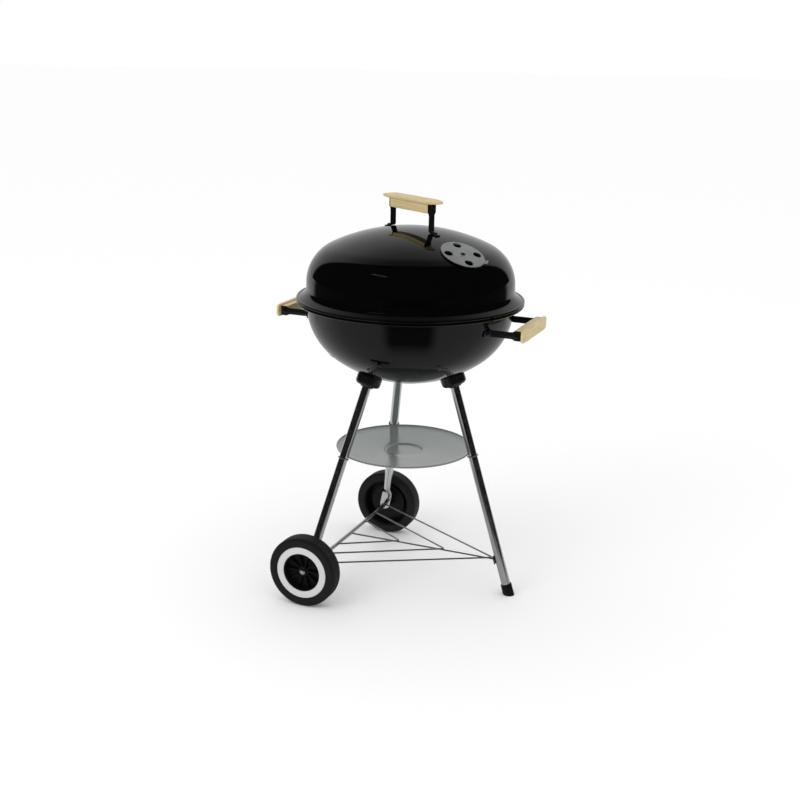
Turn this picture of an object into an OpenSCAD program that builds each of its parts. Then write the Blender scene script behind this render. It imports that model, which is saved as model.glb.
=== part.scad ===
/* [Kettle bowl] */
// Height above the floor of the plane where the lid rests on the bowl
rim_z = 618; // [560:1:680]
// Outer radius of the bowl wall just under its rim
bowl_r = 217; // [190:1:255]
// Lean of the bowl wall from vertical, in degrees
bowl_draft = 10.5; // [6:0.5:14]
// Length of the straight part of the bowl wall
bowl_wall_h = 27; // [20:1:36]
// Radius of the bowl's shoulder in section
bowl_shoulder_r = 140; // [120:1:150]
// Radius of the bowl's bottom in section
bowl_bottom_r = 265; // [245:1:290]
// Thickness of the enamelled steel sheet
sheet = 1.2; // [0.8:0.1:1.6]
// How far the rolled rims stand out from the bowl wall
rim_overhang = 18; // [16:1:24]
// Radius of the bowl's rolled bead
bowl_bead_r = 2.8; // [2:0.1:3.2]
// Outer radius of the curve under the bowl's flat rim
bowl_cove_r = 5; // [3:0.5:6]

/* [Lid] */
// How much smaller the lid wall's radius is than the bowl wall's
lid_inset = 2.5; // [1:0.5:5]
// Lean of the lid wall from vertical, in degrees
lid_draft = 0.4; // [0.2:0.1:2]
// Height of the straight lid wall between the flare and the shoulder
lid_wall_h = 9; // [4:1:20]
// Radius of the lid's shoulder in section
lid_shoulder_r = 86; // [70:1:100]
// Radius of the lid's crown in section
lid_crown_r = 386; // [350:1:460]
// Radius of the concave flare above the lid's rim
lid_cove_r = 20; // [12:1:24]
// Slope of the lid's flared skirt from the horizontal, in degrees
lid_flare = 35; // [25:1:45]
// Radius of the lid's rolled bead
lid_bead_r = 3; // [2.2:0.1:3.4]
// Turn of the lid, with its handle and vent, about the kettle's axis, in degrees
lid_turn = -29; // [-60:1:60]

/* [Vents] */
// Radius of both damper discs
damper_r = 45; // [40:1:50]
// Thickness of both damper discs
damper_t = 1.5; // [1:0.1:2]
// Radius of the circle that the vent holes lie on
vent_pcr = 31.5; // [28:0.5:33]
// Radius of each vent hole in the damper discs
vent_hole_r = 8.5; // [6:0.5:9.5]
// How much smaller in radius the holes in the shells are than those in the discs
vent_lap = 0.5; // [0.2:0.1:1.5]
// Distance of the lid vent from the kettle's axis
lid_vent_r = 159; // [120:1:160]
// Turn of the lid vent's holes about its rivet, in degrees
lid_vent_turn = -15; // [-45:1:45]
// Turn of the lid damper's finger tab from its first hole, in degrees
lid_tab_turn = 60; // [30:1:60]
// Radius of the damper rivets' shanks
rivet_r = 2.5; // [2:0.1:3]
// Radius of the damper rivets' heads
rivet_head_r = 5; // [4:0.5:8]
// Length of the bent finger tab on each damper
tab_len = 14; // [10:1:20]
// Width of the bent finger tab on each damper
tab_w = 16; // [10:1:20]

/* [Handles] */
// Width of the steel handle strips
strip_w = 13.5; // [11:0.5:16]
// Thickness of the steel handle strips
strip_t = 2.5; // [2:0.1:3]
// Height of the wider plate at the grip end of each strip
plate_w = 20; // [18:1:24]
// Length of each strip's foot
strip_foot = 20; // [18:1:30]
// Distance from the kettle's axis to the lid handle's strips
lid_strip_x = 62; // [50:1:75]
// Clear height between the top of the lid and the lid grip
lid_grip_gap = 34; // [28:1:45]
// Distance from the middle of each side handle to its strips
side_strip_y = 72; // [60:1:80]
// Distance from the kettle's axis to the inner face of the side grips
side_grip_x = 248; // [243:1:262]
// Drop of the side handles' middle below the rims
side_drop = 36; // [30:1:40]
// Height of the lid grip's block, between the strips
lid_block_h = 18; // [14:1:22]
// Depth of the side grips' blocks, between the strips
side_block_h = 14; // [12:1:18]
// Thickness of each grip's board
board_t = 9.5; // [7:0.5:12]
// Width of each grip's board
board_w = 25; // [22:1:30]
// How far each board runs past the lid handle's strips
lid_board_over = 24; // [16:1:34]
// How far each board runs past the side handles' strips
side_board_over = 9; // [6:1:20]

/* [Grates] */
// Radius of the wire in both grate rings
ring_wire_r = 3; // [2:0.25:4]
// Radius of the grate rods
rod_r = 2; // [1.5:0.25:2.5]
// Pitch of the cooking grate's rods
cook_pitch = 15; // [12:1:20]
// Pitch of the charcoal grate's rods
coal_pitch = 20; // [16:1:26]
// Drop of the cooking grate below the rims
cook_drop = 24; // [20:1:30]
// Drop of the charcoal grate below the rims
coal_drop = 103; // [90:1:112]
// Gap all round between a grate and the bowl wall
grate_gap = 4; // [3:0.5:10]
// Width of the grate support tabs
tab_ledge_w = 18; // [12:1:24]
// How far each support tab reaches under its grate ring
tab_ledge_reach = 8; // [7:0.5:12]

/* [Legs] */
// Radius of the leg tubes
leg_r = 9.5; // [8:0.5:11]
// Wall of the leg tubes
leg_wall = 1.2; // [1:0.1:2]
// Distance from the kettle's axis to the socket centres, on the bowl
socket_place_r = 96.5; // [85:0.5:110]
// Angle of the wheel legs' sockets from the front leg, in degrees
wheel_leg_turn = 123.5; // [115:0.5:130]
// Distance from the kettle's axis to the front leg's middle at the floor
foot_place_r = 240; // [210:1:270]
// Radius of the leg sockets
socket_r = 26; // [22:1:30]
// Depth of the leg sockets
socket_h = 20; // [18:1:26]
// Radius of the front leg's cap
cap_r = 11.7; // [11:0.1:14]
// Length of the front leg's cap
cap_h = 24; // [18:1:35]

/* [Wheels] */
// Radius of the wheels
wheel_r = 74.5; // [65:0.5:85]
// Width of the wheels
wheel_w = 36; // [30:1:42]
// Outer radius of the wheel disc and its pale ring, where the tyre starts
disc_r = 55.5; // [52:0.5:58]
// Inner radius of the pale ring
ring_in_r = 41; // [38:0.5:44]
// Number of ribs on each wheel disc
wheel_ribs = 10; // [6:1:14]
// Radius of the axle
axle_r = 3; // [2.5:0.1:4]
// Running clearance in radius between the axle and the wheels
axle_fit = 0.08; // [0.03:0.01:0.1]
// Distance of the axle behind the kettle's axis
axle_back = 134.5; // [115:0.5:160]
// Distance from the middle of the axle to the flat end of each wheel leg
leg_end_y = 197; // [180:1:215]
// Width of the flattened end of each wheel leg
leg_flat_w = 24; // [21:1:28]
// Thickness of the flattened end of each wheel leg
leg_flat_t = 3.2; // [2.4:0.1:4]
// Height of the flattened end above the axle
leg_flat_h = 24; // [20:1:32]

/* [Ash tray and shelf] */
// Height of the ash tray's rim above the floor
tray_z = 300; // [240:1:340]
// Depth of the ash tray
tray_depth = 14; // [8:1:24]
// Radius of the pressed round in the middle of the ash tray
tray_round_r = 38; // [30:1:60]
// Depth of the pressed round in the middle of the ash tray
tray_step = 3; // [1.5:0.5:5]
// Radius of the wire of the tray clips
clip_wire_r = 1.3; // [1:0.1:2]
// Radius of the shelf wires
shelf_wire_r = 1.75; // [1.5:0.05:2.5]
// Half the width of the shelf at the axle
shelf_half_w = 188; // [160:1:190]
// Gap between the tip of the shelf and the front leg
shelf_tip_gap = 6; // [4:0.5:10]
// Distance of the first inner pair of wires from the middle, at the axle
shelf_inner_y = 74; // [50:1:90]
// Distance of the second inner pair of wires from the middle, at the axle
shelf_outer_y = 131; // [110:1:145]
// Distance of the first inner pair's tip in front of the axle
shelf_inner_x = 121; // [100:1:150]
// Distance of the second inner pair's tip in front of the axle
shelf_outer_x = 226; // [200:1:250]

/* [Fasteners] */
// Radius of the handle and socket bolts
bolt_r = 2.5; // [2:0.1:3]
// Radius of the bolt heads
bolt_head_r = 5; // [4.2:0.1:6.5]
// Radius of the nuts across their corners
nut_r = 5; // [4.2:0.1:6.5]
// Thickness of the nuts
nut_h = 4; // [3:0.5:5]
// Radius of the screws in the wooden grips
screw_r = 1.75; // [1.5:0.05:2.2]
// Length of the screws in the wooden grips
screw_len = 22; // [14:1:30]

/* [Hidden] */
$fn = 48;
// Gap between pieces that only rest on or pass each other
gap = 0.3;
// Gap under a fastener that sits on a curved sheet
seat_gap = 0.3;
// How far a welded piece bites into what it is welded to
bite = 0.4;
// Steps in each arc of a pressed outline
arc_steps = 10;

// Section of a pressed dome: straight wall, shoulder arc and crown arc, from the wall's foot to the axis.
// Its surface lies inset inside the outer one.
function shoulder_c(r, draft, wall, shoulder) =
    [r - wall * sin(draft) - shoulder * cos(draft), wall * cos(draft) - shoulder * sin(draft)];
function crown_a(c, shoulder, crown) = acos(c[0] / (crown - shoulder));
function crown_z(c, shoulder, crown) = c[1] - (crown - shoulder) * sin(crown_a(c, shoulder, crown));
function arc(c, r, from, to, steps = arc_steps) =
    [for (i = [0:steps]) let (t = from + (to - from) * i / steps) c + r * [cos(t), sin(t)]];
function dome(r, draft, wall, shoulder, crown, inset) =
    let (
        c = shoulder_c(r, draft, wall, shoulder),
        a = crown_a(c, shoulder, crown),
        z = crown_z(c, shoulder, crown)
    )
    concat(
        [[r - inset * cos(draft), -inset * sin(draft)]],
        arc(c, shoulder - inset, draft, a),
        [for (p = arc([0, z], crown - inset, a, 90)) if (p[0] < (crown - inset) * cos(a) - 0.01) p]
    );
function reversed(list) = [for (i = [len(list) - 1:-1:0]) list[i]];
function raised(list, z, up) = [for (p = list) [p[0], z + up * p[1]]];

// Bowl section
rim_bead_r = bowl_r + rim_overhang - lid_bead_r;
bowl_bead_top = rim_z - gap / 2;
bead_proud = 0.15;
bead_steps = 20;
bowl_rim_top = bowl_bead_top - bead_proud;
bowl_bead_c = [rim_bead_r, bowl_bead_top - bowl_bead_r];
bowl_bead_from = 180 - asin((bowl_rim_top - sheet - bowl_bead_c[1]) / bowl_bead_r);
bowl_bead_to = 540 - asin((bowl_rim_top - bowl_bead_c[1]) / bowl_bead_r);
bowl_cove_c = [bowl_r + bowl_cove_r * cos(bowl_draft), bowl_rim_top - sheet - bowl_cove_r];
bowl_wall_z = bowl_cove_c[1] + bowl_cove_r * sin(bowl_draft);
bowl_c = shoulder_c(bowl_r, bowl_draft, bowl_wall_h, bowl_shoulder_r);
bowl_a = crown_a(bowl_c, bowl_shoulder_r, bowl_bottom_r);
bowl_bottom_c = bowl_wall_z - crown_z(bowl_c, bowl_shoulder_r, bowl_bottom_r);
bowl_bottom_z = bowl_bottom_c - bowl_bottom_r;
bowl_wall_end_z = bowl_wall_z - bowl_wall_h * cos(bowl_draft);
// Outer radius of the bowl at a height on its wall or its shoulder
function bowl_at(z) = z > bowl_wall_end_z
    ? bowl_r - (bowl_wall_z - z) * tan(bowl_draft)
    : bowl_c[0] + sqrt(pow(bowl_shoulder_r, 2) - pow(bowl_wall_z - bowl_c[1] - z, 2));
// Height of the bowl's underside at a radius on its bottom
function bowl_under(r) = bowl_bottom_c - sqrt(pow(bowl_bottom_r, 2) - pow(r, 2));

// Lid section
lid_r = bowl_r - lid_inset;
lid_bead_z = rim_z + gap / 2 + lid_bead_r;
flare_t = 270 - lid_flare;
lid_cove_mid_r = lid_cove_r + sheet / 2;
flare_start_r = lid_r + lid_cove_r * cos(lid_draft) + lid_cove_mid_r * cos(flare_t);
flare_len = (rim_bead_r - flare_start_r) / cos(lid_flare);
lid_foot_z = lid_bead_z + flare_len * sin(lid_flare) - lid_cove_r * sin(lid_draft) - lid_cove_mid_r * sin(flare_t);
lid_cove_c = [lid_r + lid_cove_r * cos(lid_draft), lid_foot_z + lid_cove_r * sin(lid_draft)];
lid_c = shoulder_c(lid_r, lid_draft, lid_wall_h, lid_shoulder_r);
lid_crown_c = lid_foot_z + crown_z(lid_c, lid_shoulder_r, lid_crown_r);
// Height of the lid's crown at a radius
function lid_at(r) = lid_crown_c + sqrt(pow(lid_crown_r, 2) - pow(r, 2));

// Lid handle
lid_foot_x = lid_strip_x + strip_foot / 2 + strip_t;
lid_foot_tilt = asin(lid_foot_x / lid_crown_r);
lid_grip_z = lid_at(0) + lid_grip_gap;

// Side handles
side_z = rim_z - side_drop;
side_wall_r = bowl_at(side_z);
side_tilt = side_z > bowl_wall_end_z
    ? bowl_draft
    : asin((bowl_wall_z - bowl_c[1] - side_z) / bowl_shoulder_r);
side_foot_y = side_strip_y + strip_foot / 2;
side_foot_turn = asin(side_foot_y / side_wall_r);
side_strip_start = sqrt(pow(bowl_at(side_z + strip_w / 2), 2) - pow(side_strip_y - strip_t / 2, 2)) + gap;

// Grates
cook_z = rim_z - cook_drop;
coal_z = rim_z - coal_drop;
cook_r = bowl_at(cook_z - ring_wire_r) - sheet - grate_gap - ring_wire_r;
coal_r = bowl_at(coal_z - ring_wire_r) - sheet - grate_gap - ring_wire_r;
cross_bar_r = 2.5;
grate_lap = 0.3;

// Legs: each runs from its socket to its lower end
socket_z = bowl_under(socket_place_r);
socket_tilt = asin(socket_place_r / bowl_bottom_r);
leg_top_drop = 9;
foot_lift = 6;
front_top = [socket_place_r, 0, socket_z];
front_foot = [foot_place_r, 0, 0];
function along(a, b, d) = a + (b - a) * d / norm(b - a);
function wheel_top(side) =
    [socket_place_r * cos(wheel_leg_turn), side * socket_place_r * sin(wheel_leg_turn), socket_z];
axle_z = wheel_r;
leg_lean = atan2(wheel_top(1)[0] + axle_back, socket_z - axle_z);
function wheel_end(side) =
    [leg_flat_h * tan(leg_lean) - axle_back, side * leg_end_y, axle_z + leg_flat_h];

// Ash tray: the circle that just clears the inner sides of the three legs at its rim
function at_height(a, b, z) = a + (b - a) * (z - a[2]) / (b[2] - a[2]);
tray_front = at_height(front_top, front_foot, tray_z);
tray_back = at_height(wheel_top(1), wheel_end(1), tray_z);
tray_x = (pow(tray_front[0], 2) - pow(tray_back[0], 2) - pow(tray_back[1], 2)) / (2 * (tray_front[0] - tray_back[0]));
front_lean = atan2(foot_place_r - socket_place_r, socket_z);
tray_leg_r = leg_r / cos(front_lean);
tray_r = tray_front[0] - tray_x - tray_leg_r - gap;
tray_bead_r = 1.6;
tray_sheet = 0.9;

// Wheels
tyre_in_y = leg_end_y + leg_flat_t / 2 + 2.7;
washer_t = 1.2;
washer_y = leg_end_y + leg_flat_t / 2;
boss_in_y = washer_y + washer_t + gap;
boss_r = 11;
boss_len = wheel_w - 8;
ring_seat = 5;
cap_nut_y = boss_in_y + boss_len + gap;
cap_nut_r = 6.5;
cap_nut_h = 5;
axle_half = cap_nut_y + cap_nut_h / 2;

// Shelf
side_wire_x = axle_r + shelf_wire_r + gap - axle_back;
shelf_over_z = axle_z + 2 * shelf_wire_r - bite;
shelf_leg_x = at_height(front_top, front_foot, axle_z)[0] - tray_leg_r;
shelf_tip_x = shelf_leg_x - shelf_tip_gap;
shelf_plate_t = 2;
shelf_plate_h = 18;
shelf_screw_drop = 5;
shelf_eye_r = axle_r + 2.5;
shelf_eye_t = 3;

// Placing
module pointing(a, b) {
    d = b - a;
    translate(a)
        rotate([0, acos(d[2] / norm(d)), atan2(d[1], d[0])])
            children();
}
module on_lid() {
    rotate([0, 0, lid_turn])
        children();
}
module on_lid_vent() {
    on_lid()
        translate([lid_vent_r, 0, lid_at(lid_vent_r)])
            rotate([0, asin(lid_vent_r / lid_crown_r), 0])
                rotate([0, 0, lid_vent_turn])
                    children();
}
module both_ends() {
    for (end = [0, 180])
        rotate([0, 0, end])
            children();
}
module both_sides() {
    for (side = [0, 1])
        mirror([0, side, 0])
            children();
}
// At a lid strip's bolt, on the lid, with X outwards along the handle
module at_lid_foot() {
    on_lid()
        both_ends()
            translate([lid_foot_x, 0, lid_at(lid_foot_x)])
                rotate([0, lid_foot_tilt, 0])
                    children();
}
// At a side strip's bolt, on the bowl wall, with Z along the bolt, outwards
module at_side_foot() {
    both_sides()
        rotate([0, 0, side_foot_turn])
            translate([side_wall_r, 0, side_z])
                rotate([0, 90 + side_tilt, 0])
                    children();
}
// On a socket's axis, with Z pointing away from the bowl
module at_socket(turn) {
    rotate([0, 0, turn])
        translate([socket_place_r, 0, socket_z])
            rotate([0, 180 - socket_tilt, 0])
                children();
}
socket_turns = [0, wheel_leg_turn, -wheel_leg_turn];

// Fasteners, with Z along the shank and the face that the head sits on at zero
module dome_head(r) {
    intersection() {
        translate([0, 0, -r / 2])
            sphere(r * 1.12);
        cylinder(r = r, h = r);
    }
}
module bolt(len) {
    union() {
        dome_head(bolt_head_r);
        translate([0, 0, -len])
            cylinder(r = bolt_r, h = len + 1);
    }
}
module nut() {
    difference() {
        cylinder(r = nut_r, h = nut_h, $fn = 6);
        translate([0, 0, -1])
            cylinder(r = bolt_r, h = nut_h + 2);
    }
}
module wood_screw() {
    union() {
        dome_head(screw_r * 2);
        translate([0, 0, -screw_len])
            cylinder(r = screw_r, h = screw_len + 1);
    }
}

// Kettle
module bowl_outline() {
    polygon(concat(
        arc(bowl_cove_c, bowl_cove_r, 90, 180 - bowl_draft),
        [for (p = raised(dome(bowl_r, bowl_draft, bowl_wall_h, bowl_shoulder_r, bowl_bottom_r, 0),
            bowl_wall_z, -1)) if (p[1] < bowl_wall_z - 0.01) p],
        reversed([for (p = raised(dome(bowl_r, bowl_draft, bowl_wall_h, bowl_shoulder_r, bowl_bottom_r, sheet),
            bowl_wall_z, -1)) if (p[1] < bowl_wall_z - 0.01) p]),
        reversed(arc(bowl_cove_c, bowl_cove_r + sheet, 90, 180 - bowl_draft)),
        reversed(arc(bowl_bead_c, bowl_bead_r, bowl_bead_from, bowl_bead_to, bead_steps))
    ));
}
module vent_holes(r) {
    for (i = [0:3])
        rotate([0, 0, 90 * i])
            translate([vent_pcr, 0, -4 * damper_t - sheet])
                cylinder(r = r, h = 8 * damper_t + 2 * sheet);
}
module bowl_shell() {
    color("#15161a")
        difference() {
            rotate_extrude()
                bowl_outline();
            translate([0, 0, bowl_bottom_z]) {
                vent_holes(vent_hole_r - vent_lap);
                translate([0, 0, -1])
                    cylinder(r = rivet_r, h = sheet + 2);
            }
            for (turn = socket_turns)
                at_socket(turn)
                    translate([0, 0, -2 * sheet])
                        cylinder(r = bolt_r, h = 3 * sheet);
            both_ends()
                at_side_foot()
                    translate([0, 0, -3 * sheet])
                        cylinder(r = bolt_r, h = 4 * sheet);
        }
}
module lid_outline() {
    polygon(concat(
        [[rim_bead_r, lid_bead_z + sheet / 2 / cos(lid_flare)]],
        reversed(arc(lid_cove_c, lid_cove_r, 180 + lid_draft, flare_t)),
        [for (p = raised(dome(lid_r, lid_draft, lid_wall_h, lid_shoulder_r, lid_crown_r, 0),
            lid_foot_z, 1)) if (p[1] > lid_foot_z + 0.01) p],
        reversed([for (p = raised(dome(lid_r, lid_draft, lid_wall_h, lid_shoulder_r, lid_crown_r, sheet),
            lid_foot_z, 1)) if (p[1] > lid_foot_z + 0.01) p]),
        arc(lid_cove_c, lid_cove_r + sheet, 180 + lid_draft, flare_t),
        [[rim_bead_r, lid_bead_z - sheet / 2 / cos(lid_flare)]]
    ));
    translate([rim_bead_r, lid_bead_z])
        circle(lid_bead_r);
}
module lid_shell() {
    color("#15161a")
        difference() {
            rotate_extrude()
                lid_outline();
            on_lid_vent() {
                vent_holes(vent_hole_r - vent_lap);
                translate([0, 0, -2 * sheet])
                    cylinder(r = rivet_r, h = 4 * sheet);
            }
            at_lid_foot()
                translate([0, 0, -2 * sheet])
                    cylinder(r = bolt_r, h = 4 * sheet);
        }
}

// Dampers and their rivets
module damper_tab() {
    translate([damper_r - 2, -tab_w / 2, 0])
        cube([tab_len / 2, tab_w, damper_t]);
    translate([damper_r - 2 + tab_len / 2 - damper_t, -tab_w / 2, 0])
        cube([damper_t, tab_w, tab_len / 2]);
}
module lid_vent_damper() {
    color("#a5aaa8")
        on_lid_vent()
            translate([0, 0, gap])
                difference() {
                    union() {
                        cylinder(r = damper_r, h = damper_t);
                        rotate([0, 0, lid_tab_turn])
                            damper_tab();
                    }
                    vent_holes(vent_hole_r);
                    translate([0, 0, -1])
                        cylinder(r = rivet_r + axle_fit, h = damper_t + 2);
                }
}
module rivet(stack) {
    union() {
        translate([0, 0, -sheet - 1])
            cylinder(r = rivet_r, h = stack + 2 * gap + sheet + 2);
        translate([0, 0, stack + 2 * gap])
            dome_head(rivet_head_r);
        translate([0, 0, -sheet - 1 - seat_gap])
            cylinder(r = rivet_head_r, h = 1);
    }
}
module lid_vent_rivet() {
    color("#b9bcbb")
        on_lid_vent()
            rivet(damper_t);
}
module damper_dish(r, t) {
    out = bowl_bottom_r + gap;
    intersection() {
        translate([0, 0, bowl_bottom_r])
            difference() {
                sphere(out + t);
                sphere(out);
            }
        translate([0, 0, -2 * t])
            cylinder(r = r, h = r);
    }
}
module bowl_vent_damper() {
    color("#a5aaa8")
        translate([0, 0, bowl_bottom_z])
            difference() {
                union() {
                    damper_dish(damper_r, damper_t);
                    rotate([0, 0, 135])
                        translate([0, 0, bowl_bottom_r - gap - sqrt(pow(bowl_bottom_r, 2) - pow(damper_r - 2, 2))])
                            mirror([0, 0, 1])
                                damper_tab();
                }
                vent_holes(vent_hole_r);
                translate([0, 0, -3 * damper_t])
                    cylinder(r = rivet_r + axle_fit, h = 6 * damper_t);
            }
}
module bowl_vent_rivet() {
    color("#b9bcbb")
        translate([0, 0, bowl_bottom_z])
            mirror([0, 0, 1])
                rivet(damper_t);
}

// Grates and their supports
module support_tabs(ring_r, z) {
    inner = ring_r - tab_ledge_reach;
    outer = bowl_at(z) - sheet / 2;
    for (i = [0:3])
        rotate([0, 0, 45 + 90 * i])
            translate([inner, -tab_ledge_w / 2, z - 2])
                cube([sqrt(pow(outer, 2) - pow(tab_ledge_w / 2, 2)) - inner, tab_ledge_w, 2]);
}
module grate_tabs() {
    color("#3a3b3d") {
        support_tabs(cook_r, cook_z - ring_wire_r - gap);
        support_tabs(coal_r, coal_z - ring_wire_r - gap);
    }
}
module grate(r, z, pitch) {
    count = floor((r - ring_wire_r - 2 * rod_r) / pitch);
    bar_y = r * 0.45;
    low = rod_r + cross_bar_r - grate_lap;
    translate([0, 0, z])
        union() {
            rotate_extrude()
                translate([r, 0])
                    circle(ring_wire_r);
            for (y = [-bar_y, bar_y])
                translate([-sqrt(pow(r, 2) - pow(y, 2)), y, -low])
                    rotate([0, 90, 0])
                        cylinder(r = cross_bar_r, h = 2 * sqrt(pow(r, 2) - pow(y, 2)));
            for (i = [-count:count])
                translate([i * pitch, -sqrt(pow(r, 2) - pow(i * pitch, 2)), 0])
                    rotate([-90, 0, 0])
                        cylinder(r = rod_r, h = 2 * sqrt(pow(r, 2) - pow(i * pitch, 2)));
        }
}
module cooking_grate() {
    color("#c9cbcc")
        grate(cook_r, cook_z, cook_pitch);
}
module charcoal_grate() {
    color("#8f9193")
        grate(coal_r, coal_z, coal_pitch);
}

// Wooden grip: a block between the strips and a board over it, with X along it and Z towards the board
module grip(strip_at, over, block_h) {
    block = 2 * strip_at - strip_t;
    half = strip_at + over;
    tip = board_w / 2;
    difference() {
        union() {
            translate([-block / 2, -plate_w / 2, 0])
                cube([block, plate_w, block_h + 0.5]);
            intersection() {
                translate([0, 0, block_h])
                    linear_extrude(board_t)
                        union() {
                            square([2 * (half - tip), board_w], center = true);
                            for (end = [-1, 1])
                                translate([end * (half - tip), 0])
                                    circle(tip);
                        }
                translate([0, board_w, block_h])
                    rotate([90, 0, 0])
                        linear_extrude(2 * board_w)
                            polygon([
                                [-half, board_t * 0.3], [-half + 1.4 * tip, 0],
                                [half - 1.4 * tip, 0], [half, board_t * 0.3],
                                [half, board_t * 0.7], [half - 1.4 * tip, board_t],
                                [-half + 1.4 * tip, board_t], [-half, board_t * 0.7]
                            ]);
            }
        }
        for (end = [0, 180])
            rotate([0, 0, end])
                translate([block / 2 + strip_t, 0, block_h / 2])
                    rotate([0, 90, 0])
                        translate([0, 0, -screw_len])
                            cylinder(r = screw_r, h = screw_len);
    }
}
module grip_screws(strip_at, block_h) {
    for (end = [0, 180])
        rotate([0, 0, end])
            translate([strip_at + strip_t / 2, 0, block_h / 2])
                rotate([0, 90, 0])
                    wood_screw();
}
// Plate that ends a strip on the grip's end face
module grip_plate(strip_at, block_h) {
    translate([strip_at - strip_t / 2, -plate_w / 2, 0])
        difference() {
            cube([strip_t, plate_w, block_h]);
            translate([-1, plate_w / 2, block_h / 2])
                rotate([0, 90, 0])
                    cylinder(r = screw_r, h = strip_t + 2);
        }
}

// Lid handle
module lid_brackets() {
    foot_top_z = lid_at(lid_strip_x) + strip_t / 2;
    color("#1b1b1d")
        on_lid()
            both_ends()
                difference() {
                    union() {
                        translate([0, 0, lid_grip_z])
                            grip_plate(lid_strip_x, lid_block_h);
                        translate([lid_strip_x - strip_t / 2, -strip_w / 2, foot_top_z])
                            cube([strip_t, strip_w, lid_grip_z - foot_top_z + 0.5]);
                        translate([lid_foot_x, 0, lid_at(lid_foot_x)])
                            rotate([0, lid_foot_tilt, 0])
                                translate([-strip_foot / 2 - 2 * strip_t, -strip_w / 2, 0])
                                    cube([strip_foot + 2 * strip_t, strip_w, strip_t]);
                    }
                    translate([lid_foot_x, 0, lid_at(lid_foot_x)])
                        rotate([0, lid_foot_tilt, 0])
                            translate([0, 0, -1])
                                cylinder(r = bolt_r, h = strip_t + 2);
                }
}
module lid_bolts() {
    color("#8c8d8e")
        at_lid_foot()
            translate([0, 0, strip_t])
                bolt(strip_t + sheet + nut_h + 2);
}
module lid_nuts() {
    color("#8c8d8e")
        at_lid_foot()
            translate([0, 0, -sheet - nut_h - seat_gap])
                nut();
}
module lid_grip() {
    color("#d3b98a")
        on_lid()
            translate([0, 0, lid_grip_z])
                grip(lid_strip_x, lid_board_over, lid_block_h);
}
module lid_grip_screws() {
    color("#8c8d8e")
        on_lid()
            translate([0, 0, lid_grip_z])
                grip_screws(lid_strip_x, lid_block_h);
}

// Side handles: the grip's own X runs across the kettle and its Z points away from it
module at_side_grip() {
    translate([side_grip_x, 0, side_z])
        rotate([0, 90, 0])
            rotate([0, 0, 90])
                children();
}
module side_brackets() {
    difference() {
        union() {
            at_side_grip()
                both_ends()
                    grip_plate(side_strip_y, side_block_h);
            both_sides()
                translate([side_strip_start, side_strip_y - strip_t / 2, side_z - strip_w / 2])
                    cube([side_grip_x - side_strip_start + 0.5, strip_t, strip_w]);
            at_side_foot()
                translate([-strip_w / 2, -strip_foot / 2 - strip_t, 0])
                    cube([strip_w, strip_foot + strip_t - 3, strip_t]);
        }
        at_side_foot()
            translate([0, 0, -1])
                cylinder(r = bolt_r, h = strip_t + 2);
    }
}
module side_brackets_front() {
    color("#1b1b1d")
        side_brackets();
}
module side_brackets_back() {
    color("#1b1b1d")
        rotate([0, 0, 180])
            side_brackets();
}
module side_bolts() {
    color("#8c8d8e")
        both_ends()
            at_side_foot()
                translate([0, 0, strip_t])
                    bolt(strip_t + sheet + nut_h + 2);
}
module side_nuts() {
    color("#8c8d8e")
        both_ends()
            at_side_foot()
                translate([0, 0, -sheet - nut_h - seat_gap])
                    nut();
}
module side_grip_front() {
    color("#d3b98a")
        at_side_grip()
            grip(side_strip_y, side_board_over, side_block_h);
}
module side_grip_back() {
    color("#d3b98a")
        rotate([0, 0, 180])
            at_side_grip()
                grip(side_strip_y, side_board_over, side_block_h);
}
module side_grip_screws() {
    color("#8c8d8e")
        both_ends()
            at_side_grip()
                grip_screws(side_strip_y, side_block_h);
}

// Leg sockets: pressed cups against the bowl, open towards it
module socket(turn, top, end) {
    round_r = 8;
    lip = -1;
    wall = 2;
    floor_t = 2.5;
    color("#1a1a1c")
        difference() {
            at_socket(turn)
                rotate_extrude()
                    polygon(concat(
                        [[socket_r - wall, lip], [socket_r, lip]],
                        arc([socket_r - round_r, socket_h - round_r], round_r, 0, 90),
                        [[0, socket_h], [0, socket_h - floor_t]],
                        [[socket_r - wall - round_r, socket_h - floor_t]],
                        [[socket_r - wall, socket_h - floor_t - round_r]]
                    ));
            pointing(top, end)
                cylinder(r = leg_r + 0.1, h = 3 * socket_h);
        }
}
module socket_front() {
    socket(0, front_top, front_foot);
}
module socket_left() {
    socket(wheel_leg_turn, wheel_top(1), wheel_end(1));
}
module socket_right() {
    socket(-wheel_leg_turn, wheel_top(-1), wheel_end(-1));
}
module socket_bolts() {
    color("#8c8d8e")
        for (turn = socket_turns)
            at_socket(turn)
                translate([0, 0, -sheet - seat_gap])
                    mirror([0, 0, 1])
                        bolt(sheet + nut_h + 0.5);
}
module socket_nuts() {
    color("#8c8d8e")
        for (turn = socket_turns)
            at_socket(turn)
                translate([0, 0, seat_gap])
                    nut();
}

// Legs
module tube(a, b) {
    pointing(a, b)
        difference() {
            cylinder(r = leg_r, h = norm(b - a));
            translate([0, 0, -1])
                cylinder(r = leg_r - leg_wall, h = norm(b - a) + 2);
        }
}
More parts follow.
